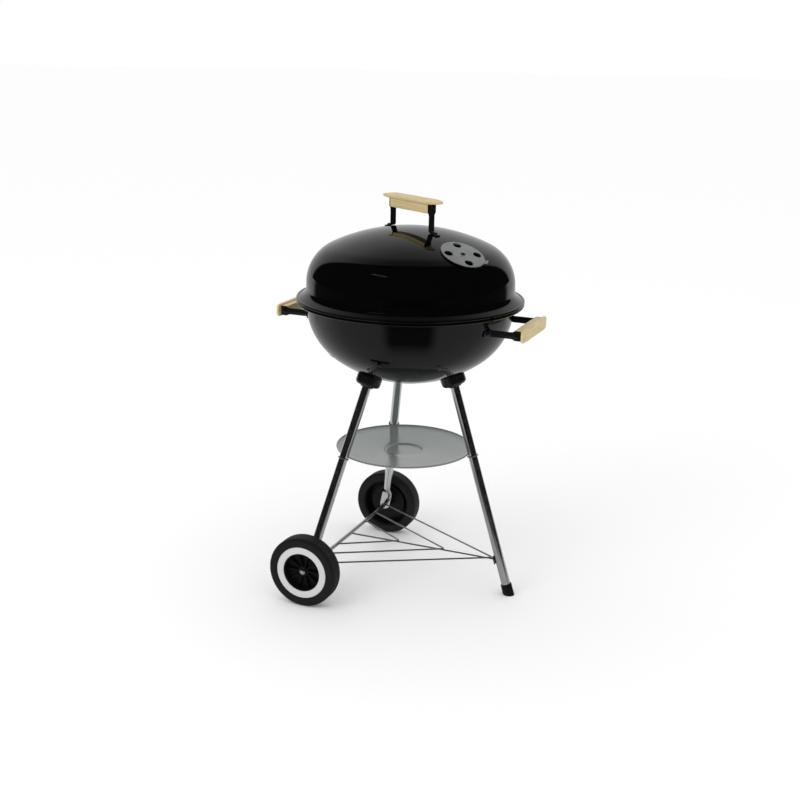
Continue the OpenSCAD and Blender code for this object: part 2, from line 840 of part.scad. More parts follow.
// At the front leg's inner side, level with the axle, with X square into the leg
module at_shelf_plate() {
    translate([shelf_leg_x, 0, axle_z])
        rotate([0, -front_lean, 0])
            children();
}
module shelf_screw_hole(r) {
    translate([-shelf_plate_t - 1, 0, -shelf_screw_drop])
        rotate([0, 90, 0])
            cylinder(r = r, h = shelf_plate_t + leg_r);
}
module leg_front() {
    color("#c4c6c8")
        difference() {
            tube(
                along(front_top, front_foot, leg_top_drop),
                along(front_foot, front_top, foot_lift)
            );
            shelf_leg_hole();
        }
}
module shelf_leg_hole() {
    at_shelf_plate()
        shelf_screw_hole(screw_r + 0.05);
}
module wheel_leg(side) {
    start = along(wheel_top(side), wheel_end(side), leg_top_drop);
    end = wheel_end(side);
    neck = along(end, start, 14);
    color("#c4c6c8")
        difference() {
            union() {
                tube(start, neck);
                hull() {
                    pointing(along(neck, start, 3), neck)
                        cylinder(r = leg_r - 0.05, h = 2, $fn = 32);
                    translate(end)
                        rotate([0, leg_lean, 0])
                            cube([leg_flat_w - 1, leg_flat_t - 0.2, 1], center = true);
                }
                translate([-axle_back, end[1] + leg_flat_t / 2, axle_z])
                    rotate([90, 0, 0])
                        linear_extrude(leg_flat_t)
                            union() {
                                circle(leg_flat_w / 2);
                                rotate(-leg_lean)
                                    translate([-leg_flat_w / 2, 0])
                                        square([leg_flat_w, leg_flat_h / cos(leg_lean) + 1]);
                            }
            }
            translate([-axle_back, end[1] + 10, axle_z])
                rotate([90, 0, 0])
                    cylinder(r = axle_r + 0.1, h = 20);
        }
}
module leg_left() {
    wheel_leg(1);
}
module leg_right() {
    wheel_leg(-1);
}
module foot_cap() {
    color("#1c1c1e")
        difference() {
            intersection() {
                pointing(front_foot, front_top)
                    translate([0, 0, -cap_r])
                        cylinder(r = cap_r, h = cap_h + cap_r);
                translate([foot_place_r - cap_h, -cap_h, 0])
                    cube([2 * cap_h, 2 * cap_h, 2 * cap_h]);
            }
            pointing(along(front_foot, front_top, foot_lift), front_top)
                cylinder(r = leg_r, h = 2 * cap_h);
        }
}

// Ash tray and the wire clips that hold it to the legs
module ash_tray() {
    floor_z = tray_z - tray_depth;
    step_w = 4;
    color("#949a97")
        translate([tray_x, 0, 0])
            rotate_extrude()
                union() {
                    polygon([
                        [0, floor_z], [tray_round_r, floor_z], [tray_round_r + step_w, floor_z + tray_step],
                        [tray_r - tray_bead_r, tray_z - tray_bead_r - tray_sheet / 2],
                        [tray_r - tray_bead_r, tray_z - tray_bead_r + tray_sheet / 2],
                        [tray_round_r + step_w - 0.5, floor_z + tray_step + tray_sheet],
                        [tray_round_r - 0.5, floor_z + tray_sheet], [0, floor_z + tray_sheet]
                    ]);
                    translate([tray_r - tray_bead_r, tray_z - tray_bead_r])
                        circle(tray_bead_r);
                }
}
// A wire ring round a leg, with the tray's edge resting on its inner side
module clip(top, end) {
    lean = acos((top[2] - end[2]) / norm(top - end));
    clip_z = tray_z - 2 * tray_bead_r - clip_wire_r - seat_gap + (leg_r + clip_wire_r) * sin(lean);
    pointing(at_height(top, end, clip_z), end)
        rotate_extrude()
            translate([leg_r + clip_wire_r, 0])
                circle(clip_wire_r);
}
module tray_clips() {
    color("#c4c6c8") {
        clip(front_top, front_foot);
        clip(wheel_top(1), wheel_end(1));
        clip(wheel_top(-1), wheel_end(-1));
    }
}

// Wire shelf between the axle and the front leg
module wire(a, b) {
    pointing(a, b)
        cylinder(r = shelf_wire_r, h = norm(b - a));
}
module wire_pair(half, tip) {
    for (side = [-1, 1])
        wire([side_wire_x, side * half, shelf_over_z], [tip, side * shelf_wire_r / 2, shelf_over_z]);
}
module wire_shelf() {
    eye_y = shelf_half_w - shelf_eye_t;
    color("#b4b7b8")
        union() {
            wire([side_wire_x, -shelf_half_w - shelf_wire_r, axle_z], [side_wire_x, shelf_half_w + shelf_wire_r, axle_z]);
            wire([side_wire_x, 0, axle_z], [shelf_leg_x - shelf_plate_t / 2 - gap, 0, axle_z]);
            wire_pair(shelf_half_w, shelf_tip_x);
            wire_pair(shelf_outer_y, shelf_outer_x - axle_back);
            wire_pair(shelf_inner_y, shelf_inner_x - axle_back);
            for (side = [-1, 1])
                translate([-axle_back, side * eye_y + shelf_eye_t / 2, axle_z])
                    rotate([90, 0, 0])
                        difference() {
                            cylinder(r = shelf_eye_r, h = shelf_eye_t);
                            translate([0, 0, -1])
                                cylinder(r = axle_r + gap / 2, h = shelf_eye_t + 2);
                        }
            at_shelf_plate()
                difference() {
                    translate([-shelf_plate_t - gap, -shelf_plate_h / 2, -shelf_plate_h / 2])
                        cube([shelf_plate_t, shelf_plate_h, shelf_plate_h]);
                    shelf_screw_hole(screw_r + seat_gap);
                }
        }
}
module shelf_screw() {
    color("#8c8d8e")
        at_shelf_plate()
            translate([-shelf_plate_t - gap, 0, -shelf_screw_drop])
                rotate([0, -90, 0])
                    union() {
                        dome_head(screw_r * 2);
                        translate([0, 0, -6])
                            cylinder(r = screw_r, h = 7);
                    }
}

// Axle and wheels; a wheel's own Z points outwards from the leg, from its inner face
module at_wheel(side, y) {
    translate([-axle_back, side * y, axle_z])
        rotate([-90 * side, 0, 0])
            children();
}
module axle() {
    color("#c4c6c8")
        translate([-axle_back, -axle_half, axle_z])
            rotate([-90, 0, 0])
                cylinder(r = axle_r, h = 2 * axle_half);
}
module axle_washers() {
    color("#c4c6c8")
        for (side = [-1, 1])
            at_wheel(side, washer_y)
                difference() {
                    cylinder(r = 2.6 * axle_r, h = washer_t);
                    translate([0, 0, -1])
                        cylinder(r = axle_r + 0.1, h = washer_t + 2);
                }
}
module axle_caps() {
    color("#c4c6c8")
        for (side = [-1, 1])
            at_wheel(side, cap_nut_y)
                difference() {
                    intersection() {
                        cylinder(r = cap_nut_r, h = cap_nut_h);
                        translate([0, 0, -cap_nut_r / 2])
                            sphere(cap_nut_r * 1.3);
                    }
                    translate([0, 0, -1])
                        cylinder(r = axle_r, h = cap_nut_h / 2 + 1);
                }
}
module tyre(side) {
    shoulder = 6;
    color("#262628")
        at_wheel(side, tyre_in_y)
            rotate_extrude()
                polygon(concat(
                    [[disc_r, 1], [disc_r + 3, 0]],
                    arc([wheel_r - shoulder, shoulder], shoulder, 270, 360),
                    arc([wheel_r - shoulder, wheel_w - shoulder], shoulder, 0, 90),
                    [[disc_r + 3, wheel_w], [disc_r, wheel_w - 1]]
                ));
}
module wheel_disc(side) {
    web_z = 15;
    web_t = 2.5;
    face_z = wheel_w - ring_seat;
    wall = 2.5;
    rib_t = 2.2;
    rib_h = 9;
    bore_r = axle_r + axle_fit;
    boss_z = boss_in_y - tyre_in_y;
    boss_end_z = boss_z + boss_len;
    color("#1d1d1f")
        at_wheel(side, tyre_in_y)
            union() {
                rotate_extrude()
                    polygon([
                        [bore_r, boss_z], [boss_r, boss_z], [boss_r, web_z],
                        [ring_in_r, web_z], [ring_in_r, face_z - wall],
                        [disc_r - wall, face_z - wall], [disc_r - wall, 3], [disc_r, 3],
                        [disc_r, face_z], [ring_in_r, face_z], [ring_in_r, wheel_w - 2],
                        [ring_in_r - wall, wheel_w - 2], [ring_in_r - wall, web_z + web_t],
                        [boss_r, web_z + web_t], [boss_r, boss_end_z], [bore_r, boss_end_z]
                    ]);
                for (i = [0:wheel_ribs - 1])
                    rotate([0, 0, 360 / wheel_ribs * i])
                        translate([boss_r - 1, -rib_t / 2, web_z + 1])
                            cube([ring_in_r - boss_r - wall / 2, rib_t, rib_h]);
            }
}
module wheel_ring(side) {
    color("#d6d7d6")
        at_wheel(side, tyre_in_y + wheel_w - ring_seat)
            rotate_extrude()
                polygon([
                    [ring_in_r, 0], [disc_r, 0], [disc_r, 4],
                    [disc_r - 1, 4.5], [ring_in_r + 1, 4.5], [ring_in_r, 4]
                ]);
}
module tyre_left() {
    tyre(1);
}
module wheel_disc_left() {
    wheel_disc(1);
}
module wheel_ring_left() {
    wheel_ring(1);
}
module tyre_right() {
    tyre(-1);
}
module wheel_disc_right() {
    wheel_disc(-1);
}
module wheel_ring_right() {
    wheel_ring(-1);
}

bowl_shell();
bowl_vent_rivet();
bowl_vent_damper();
grate_tabs();
cooking_grate();
charcoal_grate();
lid_shell();
lid_vent_rivet();
lid_vent_damper();
lid_brackets();
lid_bolts();
lid_nuts();
lid_grip();
lid_grip_screws();
side_brackets_front();
side_brackets_back();
side_bolts();
side_nuts();
side_grip_front();
side_grip_back();
side_grip_screws();
socket_front();
socket_left();
socket_right();
socket_bolts();
socket_nuts();
leg_front();
leg_left();
leg_right();
foot_cap();
ash_tray();
tray_clips();
wire_shelf();
shelf_screw();
axle();
axle_washers();
axle_caps();
tyre_left();
wheel_disc_left();
wheel_ring_left();
tyre_right();
wheel_disc_right();
wheel_ring_right();
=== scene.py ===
import math

import bmesh
import bpy
from mathutils import Matrix, Vector


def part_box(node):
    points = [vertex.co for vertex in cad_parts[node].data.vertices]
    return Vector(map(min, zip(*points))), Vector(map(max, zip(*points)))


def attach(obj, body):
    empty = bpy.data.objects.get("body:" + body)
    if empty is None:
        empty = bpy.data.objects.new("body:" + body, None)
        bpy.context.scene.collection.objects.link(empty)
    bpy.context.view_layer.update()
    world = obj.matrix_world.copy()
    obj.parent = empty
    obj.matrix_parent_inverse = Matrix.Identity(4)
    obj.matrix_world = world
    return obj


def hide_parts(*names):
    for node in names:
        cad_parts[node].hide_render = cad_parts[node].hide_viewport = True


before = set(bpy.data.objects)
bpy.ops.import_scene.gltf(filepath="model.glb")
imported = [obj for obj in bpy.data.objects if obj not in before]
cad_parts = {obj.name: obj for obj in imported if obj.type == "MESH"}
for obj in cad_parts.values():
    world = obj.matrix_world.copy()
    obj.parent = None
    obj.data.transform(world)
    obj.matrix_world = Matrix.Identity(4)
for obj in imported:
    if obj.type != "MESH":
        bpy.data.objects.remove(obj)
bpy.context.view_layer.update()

# Studio: a camera a little above the kettle's own height and an even, pale room.
# What shines sees soft panels behind the grill and over it, and a dark room in front of it, over a floor
# whose colour in reflections is painted shade.
CAMERA_TURN = math.radians(22.07485)
CAMERA_AWAY = 2.50926
CAMERA_HEIGHT = 1.14026
CAMERA_PITCH = math.radians(16.43183)
CAMERA_YAW = math.radians(-0.40132)
CAMERA_ROLL = math.radians(1.0575)
CAMERA_LENS = 55.69

away = Vector((math.sin(CAMERA_TURN), -math.cos(CAMERA_TURN), 0))
across = Vector((math.cos(CAMERA_TURN), math.sin(CAMERA_TURN), 0))
level = math.cos(CAMERA_YAW) * -away + math.sin(CAMERA_YAW) * across
side = math.cos(CAMERA_YAW) * across + math.sin(CAMERA_YAW) * away
ahead = math.cos(CAMERA_PITCH) * level - math.sin(CAMERA_PITCH) * Vector((0, 0, 1))
above = side.cross(ahead)
camera_right = math.cos(CAMERA_ROLL) * side + math.sin(CAMERA_ROLL) * above
camera_up = -math.sin(CAMERA_ROLL) * side + math.cos(CAMERA_ROLL) * above
camera_data = bpy.data.cameras.new("camera")
camera_data.lens = CAMERA_LENS
camera_data.sensor_width = 36
camera = bpy.data.objects.new("camera", camera_data)
bpy.context.scene.collection.objects.link(camera)
turn = Matrix((camera_right, camera_up, -ahead)).transposed().to_4x4()
camera.matrix_world = Matrix.Translation(away * CAMERA_AWAY + Vector((0, 0, CAMERA_HEIGHT))) @ turn
bpy.context.scene.camera = camera
bpy.context.scene.view_settings.view_transform = "Standard"


def node(tree, kind, inputs=None, **settings):
    made = tree.nodes.new(kind)
    for key, value in settings.items():
        setattr(made, key, value)
    for key, value in (inputs or {}).items():
        if isinstance(value, bpy.types.NodeSocket):
            tree.links.new(value, made.inputs[key])
        else:
            made.inputs[key].default_value = value
    return made


def colour(text):
    parts = [int(text[i:i + 2], 16) / 255 for i in (1, 3, 5)]
    return tuple(c / 12.92 if c <= 0.04045 else ((c + 0.055) / 1.055) ** 2.4 for c in parts) + (1,)


world = bpy.data.worlds.new("studio")
world.use_nodes = True
bpy.context.scene.world = world
room = world.node_tree
room.nodes.clear()
path = node(room, "ShaderNodeLightPath")
looking = node(room, "ShaderNodeTexCoord").outputs["Generated"]
behind = node(room, "ShaderNodeVectorMath", {0: looking, 1: -away}, operation="DOT_PRODUCT").outputs["Value"]
parts = node(room, "ShaderNodeSeparateXYZ", {0: looking}).outputs
height = node(room, "ShaderNodeMath", {0: parts["Z"], 1: parts["Z"]}, operation="MULTIPLY").outputs[0]
flat = node(room, "ShaderNodeMath", {0: 1.0, 1: height}, operation="SUBTRACT").outputs[0]
wide_edge = node(room, "ShaderNodeMath", {0: flat, 1: 0.72}, operation="MULTIPLY").outputs[0]
edge = node(room, "ShaderNodeMath", {0: wide_edge, 1: 0.015}, operation="ADD").outputs[0]
past = node(room, "ShaderNodeMath", {0: behind, 1: edge}, operation="SUBTRACT").outputs[0]
panel = node(room, "ShaderNodeMapRange", {0: past, 1: -0.03, 2: 0.03, 3: 0.0, 4: 1.0},
             interpolation_type="SMOOTHSTEP")
middle = node(room, "ShaderNodeMath", {0: behind, 1: 0.0}, operation="MAXIMUM").outputs[0]
narrow = node(room, "ShaderNodeMath", {0: middle, 1: 4.0}, operation="POWER").outputs[0]
overhead = node(room, "ShaderNodeMapRange", {0: height, 1: 0.45, 2: 0.95, 3: 0.36, 4: 0.08}).outputs[0]
centre = node(room, "ShaderNodeMath", {0: narrow, 1: 0.32}, operation="MULTIPLY").outputs[0]
glow = node(room, "ShaderNodeMath", {0: overhead, 1: centre}, operation="ADD").outputs[0]
lit = node(room, "ShaderNodeMath", {0: panel.outputs[0], 1: glow}, operation="MULTIPLY").outputs[0]
seen = node(room, "ShaderNodeMath", {0: lit, 1: 0.008}, operation="ADD").outputs[0]
strength = node(room, "ShaderNodeMix", {0: path.outputs["Is Glossy Ray"], 2: 1.0, 3: seen}, data_type="FLOAT")
sky = node(room, "ShaderNodeBackground", {"Color": colour("#ffffff"), "Strength": strength.outputs[0]})
node(room, "ShaderNodeOutputWorld", {"Surface": sky.outputs[0]})

floor_mesh = bmesh.new()
bmesh.ops.create_circle(floor_mesh, cap_ends=True, segments=96, radius=40.0)
floor_data = bpy.data.meshes.new("floor")
floor_mesh.to_mesh(floor_data)
floor_mesh.free()
floor = bpy.data.objects.new("floor", floor_data)
bpy.context.scene.collection.objects.link(floor)
paper = bpy.data.materials.new("white_floor_with_painted_reflection_shade")
paper.use_nodes = True
sheet = paper.node_tree
matt = sheet.nodes["Principled BSDF"].inputs
matt["Roughness"].default_value = 0.9
matt["Specular IOR Level"].default_value = 0.0
# Painted shade in the floor's colour, seen only in reflections: camera and lit rays see it near-white, glossy
# rays see it dimmer all round, darker past a short reach towards the camera, and dark far out except behind
# the grill.
spot = node(sheet, "ShaderNodeTexCoord").outputs["Object"]
way = node(sheet, "ShaderNodeVectorMath", {0: spot}, operation="NORMALIZE").outputs["Vector"]
front = node(sheet, "ShaderNodeVectorMath", {0: way, 1: away}, operation="DOT_PRODUCT").outputs["Value"]
reach = node(sheet, "ShaderNodeVectorMath", {0: spot}, operation="LENGTH").outputs["Value"]
around = node(sheet, "ShaderNodeMapRange", {0: front, 1: -0.9, 2: 0.2, 3: 0.62, 4: 0.34}).outputs[0]
ahead_part = node(sheet, "ShaderNodeMapRange", {0: front, 1: 0.84, 2: 0.95, 3: 0.0, 4: 0.9},
                  interpolation_type="SMOOTHSTEP")
clear = node(sheet, "ShaderNodeMapRange", {0: reach, 1: 0.35, 2: 0.75}).outputs[0]
front_painted_shade = node(sheet, "ShaderNodeMath", {0: ahead_part.outputs[0], 1: clear}, operation="MULTIPLY").outputs[0]
side_part = node(sheet, "ShaderNodeMapRange", {0: front, 1: -0.66, 2: -0.54}).outputs[0]
far = node(sheet, "ShaderNodeMapRange", {0: reach, 1: 1.5, 2: 2.1, 3: 0.0, 4: 0.95}).outputs[0]
far_painted_shade = node(sheet, "ShaderNodeMath", {0: side_part, 1: far}, operation="MULTIPLY").outputs[0]
keep_front = node(sheet, "ShaderNodeMath", {0: 1.0, 1: front_painted_shade}, operation="SUBTRACT").outputs[0]
keep_side = node(sheet, "ShaderNodeMath", {0: 1.0, 1: far_painted_shade}, operation="SUBTRACT").outputs[0]
shade = node(sheet, "ShaderNodeMath", {0: keep_front, 1: keep_side}, operation="MULTIPLY").outputs[0]
dim = node(sheet, "ShaderNodeMath", {0: around, 1: shade}, operation="MULTIPLY").outputs[0]
mirrored = node(sheet, "ShaderNodeLightPath").outputs["Is Glossy Ray"]
tone = node(sheet, "ShaderNodeMix", {0: mirrored, 6: colour("#fdfdfd"), 7: dim}, data_type="RGBA")
sheet.links.new(tone.outputs[2], matt["Base Color"])
floor_data.materials.append(paper)


def soft_light(name, place, target, size, power, in_gloss):
    data = bpy.data.lights.new(name, "AREA")
    data.shape = "RECTANGLE"
    data.size, data.size_y = size
    data.energy = power
    lamp = bpy.data.objects.new(name, data)
    bpy.context.scene.collection.objects.link(lamp)
    lamp.visible_glossy = in_gloss
    lamp.visible_diffuse = not in_gloss
    lamp.visible_camera = False
    way = Vector(target) - Vector(place)
    lamp.matrix_world = Matrix.Translation(place) @ way.to_track_quat("-Z", "Y").to_matrix().to_4x4()


kettle_middle = (0, 0, 0.65)


def around_kettle(height_deg, turn_deg, distance):
    flat_way = Matrix.Rotation(math.radians(turn_deg), 3, "Z") @ away
    rise = math.radians(height_deg)
    return Vector(kettle_middle) + distance * (math.cos(rise) * flat_way + math.sin(rise) * Vector((0, 0, 1)))


soft_light("key", (-1.2, -2.8, 2.6), kettle_middle, (1.6, 1.6), 18, False)
soft_light("faint_window", around_kettle(51, -46, 2.6), kettle_middle, (0.7, 0.10), 0.14, True)

# Enamelled bowl: deep-drawn steel sheet with a flat rim rolled into a bead, dipped and fired
# in black vitreous enamel, with four vent holes round a rivet at the bottom.
MM = 0.001
SHEET = 1.2
RIM_BEAD_R = 232.0
BOWL_R = 217
BOWL_DRAFT = 10.5
BOWL_CROWN_R = 265
VENT_HOLE_R = 8
VENT_CIRCLE_R = 31.5


def arc(centre, radius, start, end, steps):
    turns = [math.radians(start + (end - start) * i / steps) for i in range(steps + 1)]
    return [(centre[0] + radius * math.cos(t), centre[1] + radius * math.sin(t)) for t in turns]


def pressed_section(radius, draft, wall, shoulder, crown, inset):
    lean = math.radians(draft)
    foot = (radius - wall * math.sin(lean) - shoulder * math.cos(lean),
            wall * math.cos(lean) - shoulder * math.sin(lean))
    meet = math.acos(foot[0] / (crown - shoulder))
    centre_z = foot[1] - (crown - shoulder) * math.sin(meet)
    wall_points = [(radius - inset * math.cos(lean) - wall * math.sin(lean) * i / 4,
                    -inset * math.sin(lean) + wall * math.cos(lean) * i / 4) for i in range(4)]
    shoulder_points = arc(foot, shoulder - inset, draft, math.degrees(meet), 36)
    crown_points = arc((0, centre_z), crown - inset, math.degrees(meet), 90, 22)[1:]
    return wall_points + shoulder_points + crown_points, centre_z


def flipped(points, z, up):
    return [(r, z + up * h) for r, h in points]


def turned(outline, steps=144, closed=True):
    mesh = bmesh.new()
    points = [mesh.verts.new((r * MM, 0, z * MM)) for r, z in outline]
    chain = list(zip(points, points[1:]))
    if closed:
        chain.append((points[-1], points[0]))
    edges = [mesh.edges.new(pair) for pair in chain]
    bmesh.ops.spin(mesh, geom=points + edges, cent=(0, 0, 0), axis=(0, 0, 1), dvec=(0, 0, 0),
                   angle=math.tau, steps=steps, use_merge=True, use_duplicate=False)
    bmesh.ops.remove_doubles(mesh, verts=mesh.verts, dist=1e-6)
    bmesh.ops.recalc_face_normals(mesh, faces=mesh.faces)
    return mesh


def smooth(data, sharp=35):
    data.shade_smooth()
    data.set_sharp_from_angle(angle=math.radians(sharp))


def as_piece(name, mesh, material, place=None):
    if place:
        bmesh.ops.transform(mesh, matrix=place, verts=mesh.verts)
    data = bpy.data.meshes.new(name)
    mesh.to_mesh(data)
    mesh.free()
    smooth(data)
    data.materials.append(material)
    piece = bpy.data.objects.new(name, data)
    bpy.context.scene.collection.objects.link(piece)
    return piece


def place_on(piece, body, slot, *replaced):
    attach(piece, body)
    if replaced:
        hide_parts(*replaced)


def drill(piece, cutters):
    for number, cutter in enumerate(cutters):
        hole = piece.modifiers.new(f"hole_{number}", "BOOLEAN")
        hole.object = cutter
        hole.solver = "EXACT"
    settled = piece.evaluated_get(bpy.context.evaluated_depsgraph_get())
    cut = bpy.data.meshes.new_from_object(settled)
    piece.modifiers.clear()
    piece.data = cut
    smooth(cut)
    for cutter in cutters:
        bpy.data.objects.remove(cutter)


def vent_cutters(radius, circle, turn_deg, place, count=4):
    made = []
    for i in range(count):
        mesh = bmesh.new()
        bmesh.ops.create_cone(mesh, cap_ends=True, segments=48, radius1=radius * MM, radius2=radius * MM,
                              depth=20 * MM)
        spot = (Matrix.Rotation(math.radians(turn_deg + 360 / count * i), 4, "Z")
                @ Matrix.Translation((circle * MM, 0, 0)))
        made.append(as_piece("cutter", mesh, black_enamel, place @ spot))
    return made


def new_material(name):
    material = bpy.data.materials.new(name)
    material.use_nodes = True
    return material, material.node_tree, material.node_tree.nodes["Principled BSDF"].inputs


# Vitreous enamel: black glass fused on steel, very glossy, with a faint orange-peel waviness.
black_enamel, tree, shader = new_material("black_vitreous_enamel")
shader["Base Color"].default_value = colour("#040404")
shader["Roughness"].default_value = 0.05
where = node(tree, "ShaderNodeTexCoord").outputs["Object"]
peel = node(tree, "ShaderNodeTexNoise", {"Vector": where, "Scale": 1 / (9 * MM), "Detail": 1.0})
bump = node(tree, "ShaderNodeBump", {"Height": peel.outputs[0], "Strength": 0.012, "Distance": 0.3 * MM})
tree.links.new(bump.outputs[0], shader["Normal"])

bowl_cove = (BOWL_R + 5 * math.cos(math.radians(BOWL_DRAFT)), 611.5)
bowl_wall_z = 611.5 + 5 * math.sin(math.radians(BOWL_DRAFT))
bowl_out, bowl_centre = pressed_section(BOWL_R, BOWL_DRAFT, 27, 140, BOWL_CROWN_R, 0)
bowl_in, _ = pressed_section(BOWL_R, BOWL_DRAFT, 27, 140, BOWL_CROWN_R, SHEET)
bowl_centre_z = bowl_wall_z - bowl_centre
bowl_bottom_z = bowl_centre_z - BOWL_CROWN_R
bowl_outline = (
    flipped(bowl_in, bowl_wall_z, -1)[::-1]
    + arc(bowl_cove, 5 + SHEET, 180 - BOWL_DRAFT, 90, 8)
    + [(228, 617.7)]
    + arc((RIM_BEAD_R, 615.05), 2.8, 108.8, -211.2, 26)
    + arc(bowl_cove, 5, 90, 180 - BOWL_DRAFT, 8)
    + flipped(bowl_out, bowl_wall_z, -1)
)
bowl = as_piece("enamelled_bowl", turned(bowl_outline, 160, closed=False), black_enamel)
drill(bowl, vent_cutters(VENT_HOLE_R, VENT_CIRCLE_R, 0, Matrix.Translation((0, 0, bowl_bottom_z * MM))))
place_on(bowl, "kettle", "black_enamel", "bowl_shell")

# Enamelled lid: a deep-drawn dome with a flared foot rolled into a bead that stands on the bowl's rim.
# It carries the handle, the vent and the damper, all turned to one side of the stand.
LID_TURN = -29
LID_CROWN_R = 386
LID_COVE_R = 20
LID_DRAFT = 0.4
LID_VENT_R = 159
LID_VENT_TURN = -15
lid_r, lid_bead_z, flare = 214.5, 621.15, math.radians(35)
cove_lean = math.radians(LID_DRAFT)
flare_end = math.radians(270) - flare
cove_mid = LID_COVE_R + SHEET / 2
flare_start_r = lid_r + LID_COVE_R * math.cos(cove_lean) + cove_mid * math.cos(flare_end)
lid_foot_z = (lid_bead_z + (RIM_BEAD_R - flare_start_r) * math.tan(flare)
              - LID_COVE_R * math.sin(cove_lean) - cove_mid * math.sin(flare_end))
lid_cove = (lid_r + LID_COVE_R * math.cos(cove_lean), lid_foot_z + LID_COVE_R * math.sin(cove_lean))
lid_out, lid_centre = pressed_section(lid_r, LID_DRAFT, 9, 86, LID_CROWN_R, 0)
lid_in, _ = pressed_section(lid_r, LID_DRAFT, 9, 86, LID_CROWN_R, SHEET)
lid_centre_z = lid_foot_z + lid_centre
bead_join = math.degrees(flare)
lid_outline = (
    flipped(lid_in, lid_foot_z, 1)[::-1]
    + arc(lid_cove, LID_COVE_R + SHEET, 180 + LID_DRAFT, 270 - bead_join, 14)
    + arc((RIM_BEAD_R, lid_bead_z), 3, 180 - bead_join + 11.5, 180 - bead_join + 348.5, 26)
    + arc(lid_cove, LID_COVE_R, 270 - bead_join, 180 + LID_DRAFT, 14)
    + flipped(lid_out, lid_foot_z, 1)
)


def lid_at(radius):
    return lid_centre_z + math.sqrt(LID_CROWN_R ** 2 - radius ** 2)


on_lid = Matrix.Rotation(math.radians(LID_TURN), 4, "Z")
vent_tilt = math.asin(LID_VENT_R / LID_CROWN_R)
on_vent = (on_lid @ Matrix.Translation((LID_VENT_R * MM, 0, lid_at(LID_VENT_R) * MM))
           @ Matrix.Rotation(vent_tilt, 4, "Y"))
lid = as_piece("enamelled_lid", turned(lid_outline, 160, closed=False), black_enamel)
drill(lid, vent_cutters(VENT_HOLE_R, VENT_CIRCLE_R, LID_VENT_TURN, on_vent))
place_on(lid, "lid", "black_enamel", "lid_shell")

# Damper discs: stamped aluminium sheet, slightly dished, with four round holes and a bent finger tab,
# each held by one rivet so that it turns over the holes in the shell. The rolled sheet is dull and streaked.
aluminium, tree, shader = new_material("brushed_aluminium_sheet")
shader["Base Color"].default_value = colour("#c3c8c6")
shader["Metallic"].default_value = 1.0
shader["Roughness"].default_value = 0.42
where = node(tree, "ShaderNodeTexCoord").outputs["Object"]
grain_map = node(tree, "ShaderNodeMapping", {0: where, 3: (0.06, 1.0, 1.0)})
rolled = node(tree, "ShaderNodeTexNoise",
              {"Vector": grain_map.outputs[0], "Scale": 1 / (1.2 * MM), "Detail": 3.0})
bump = node(tree, "ShaderNodeBump", {"Height": rolled.outputs[0], "Strength": 0.12, "Distance": 0.1 * MM})
tree.links.new(bump.outputs[0], shader["Normal"])
patchy = node(tree, "ShaderNodeTexNoise", {"Vector": where, "Scale": 1 / (18 * MM), "Detail": 2.0})
dulled = node(tree, "ShaderNodeMapRange", {0: patchy.outputs[0], 1: 0.3, 2: 0.7, 3: 0.36, 4: 0.48})
tree.links.new(dulled.outputs[0], shader["Roughness"])


def damper(name, dish, place, tab_turn, hole_turn):
    top = [(0, 1.8), (12, 1.8 - dish * 0.07), (24, 1.8 - dish * 0.28), (36, 1.8 - dish * 0.64),
           (44.6, 1.75 - dish)]
    foot = [(r, z - 1.45) for r, z in top]
    rim = [(45, 1.4 - dish), (45, 0.65 - dish)]
    disc = as_piece(name, turned(top + rim + foot[::-1], 96, closed=False), aluminium)
    drill(disc, vent_cutters(VENT_HOLE_R + 0.5, VENT_CIRCLE_R, hole_turn, Matrix()))
    mesh = bmesh.new()
    mesh.from_mesh(disc.data)
    strip = bmesh.new()
    rows = [[strip.verts.new((x * MM, y * half * MM, (z - dish) * MM)) for y in (-1, 1)]
            for x, z, half in ((42.5, 1.1, 8), (46.2, 1.3, 8), (49.2, 2.4, 7.6), (51.4, 3.6, 6.0))]
    for (a, b), (c, d) in zip(rows, rows[1:]):
        strip.faces.new((a, b, d, c))
    bmesh.ops.solidify(strip, geom=strip.faces, thickness=1.3 * MM)
    bmesh.ops.recalc_face_normals(strip, faces=strip.faces)
    bmesh.ops.rotate(strip, cent=(0, 0, 0), matrix=Matrix.Rotation(math.radians(tab_turn), 3, "Z"),
                     verts=strip.verts)
    tab = bpy.data.meshes.new("tab")
    strip.to_mesh(tab)
    strip.free()
    mesh.from_mesh(tab)
    bmesh.ops.transform(mesh, matrix=place, verts=mesh.verts)
    mesh.to_mesh(disc.data)
    mesh.free()
    bpy.data.meshes.remove(tab)
    smooth(disc.data)
    disc.modifiers.new("soft_edges", "BEVEL").width = 0.15 * MM
    return disc


lid_damper = damper("lid_vent_damper_disc", 0.9, on_vent, 45, LID_VENT_TURN)
place_on(lid_damper, "lid_damper", "damper_aluminium", "lid_vent_damper")
under_bowl = Matrix.Translation((0, 0, bowl_bottom_z * MM)) @ Matrix.Rotation(math.pi, 4, "X")
bowl_damper = damper("bowl_vent_damper_disc", 3.6, under_bowl, 225, 0)
place_on(bowl_damper, "bowl_damper", "damper_aluminium", "bowl_vent_damper")

# Rivets and grate ledges: pressed steel, zinc-plated. The plating is bright but a little dulled,
# in soft patches, where it has been handled.
bright_steel, tree, shader = new_material("zinc_plated_steel")
shader["Base Color"].default_value = colour("#b9bcbb")
shader["Metallic"].default_value = 1.0
where = node(tree, "ShaderNodeTexCoord").outputs["Object"]
spangle = node(tree, "ShaderNodeTexNoise", {"Vector": where, "Scale": 1 / (4 * MM), "Detail": 2.0})
dulled = node(tree, "ShaderNodeMapRange", {0: spangle.outputs[0], 1: 0.3, 2: 0.7, 3: 0.22, 4: 0.36})
tree.links.new(dulled.outputs[0], shader["Roughness"])
for name in ("bowl_vent_rivet", "lid_vent_rivet", "grate_tabs"):
    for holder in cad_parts[name].material_slots:
        holder.material = bright_steel

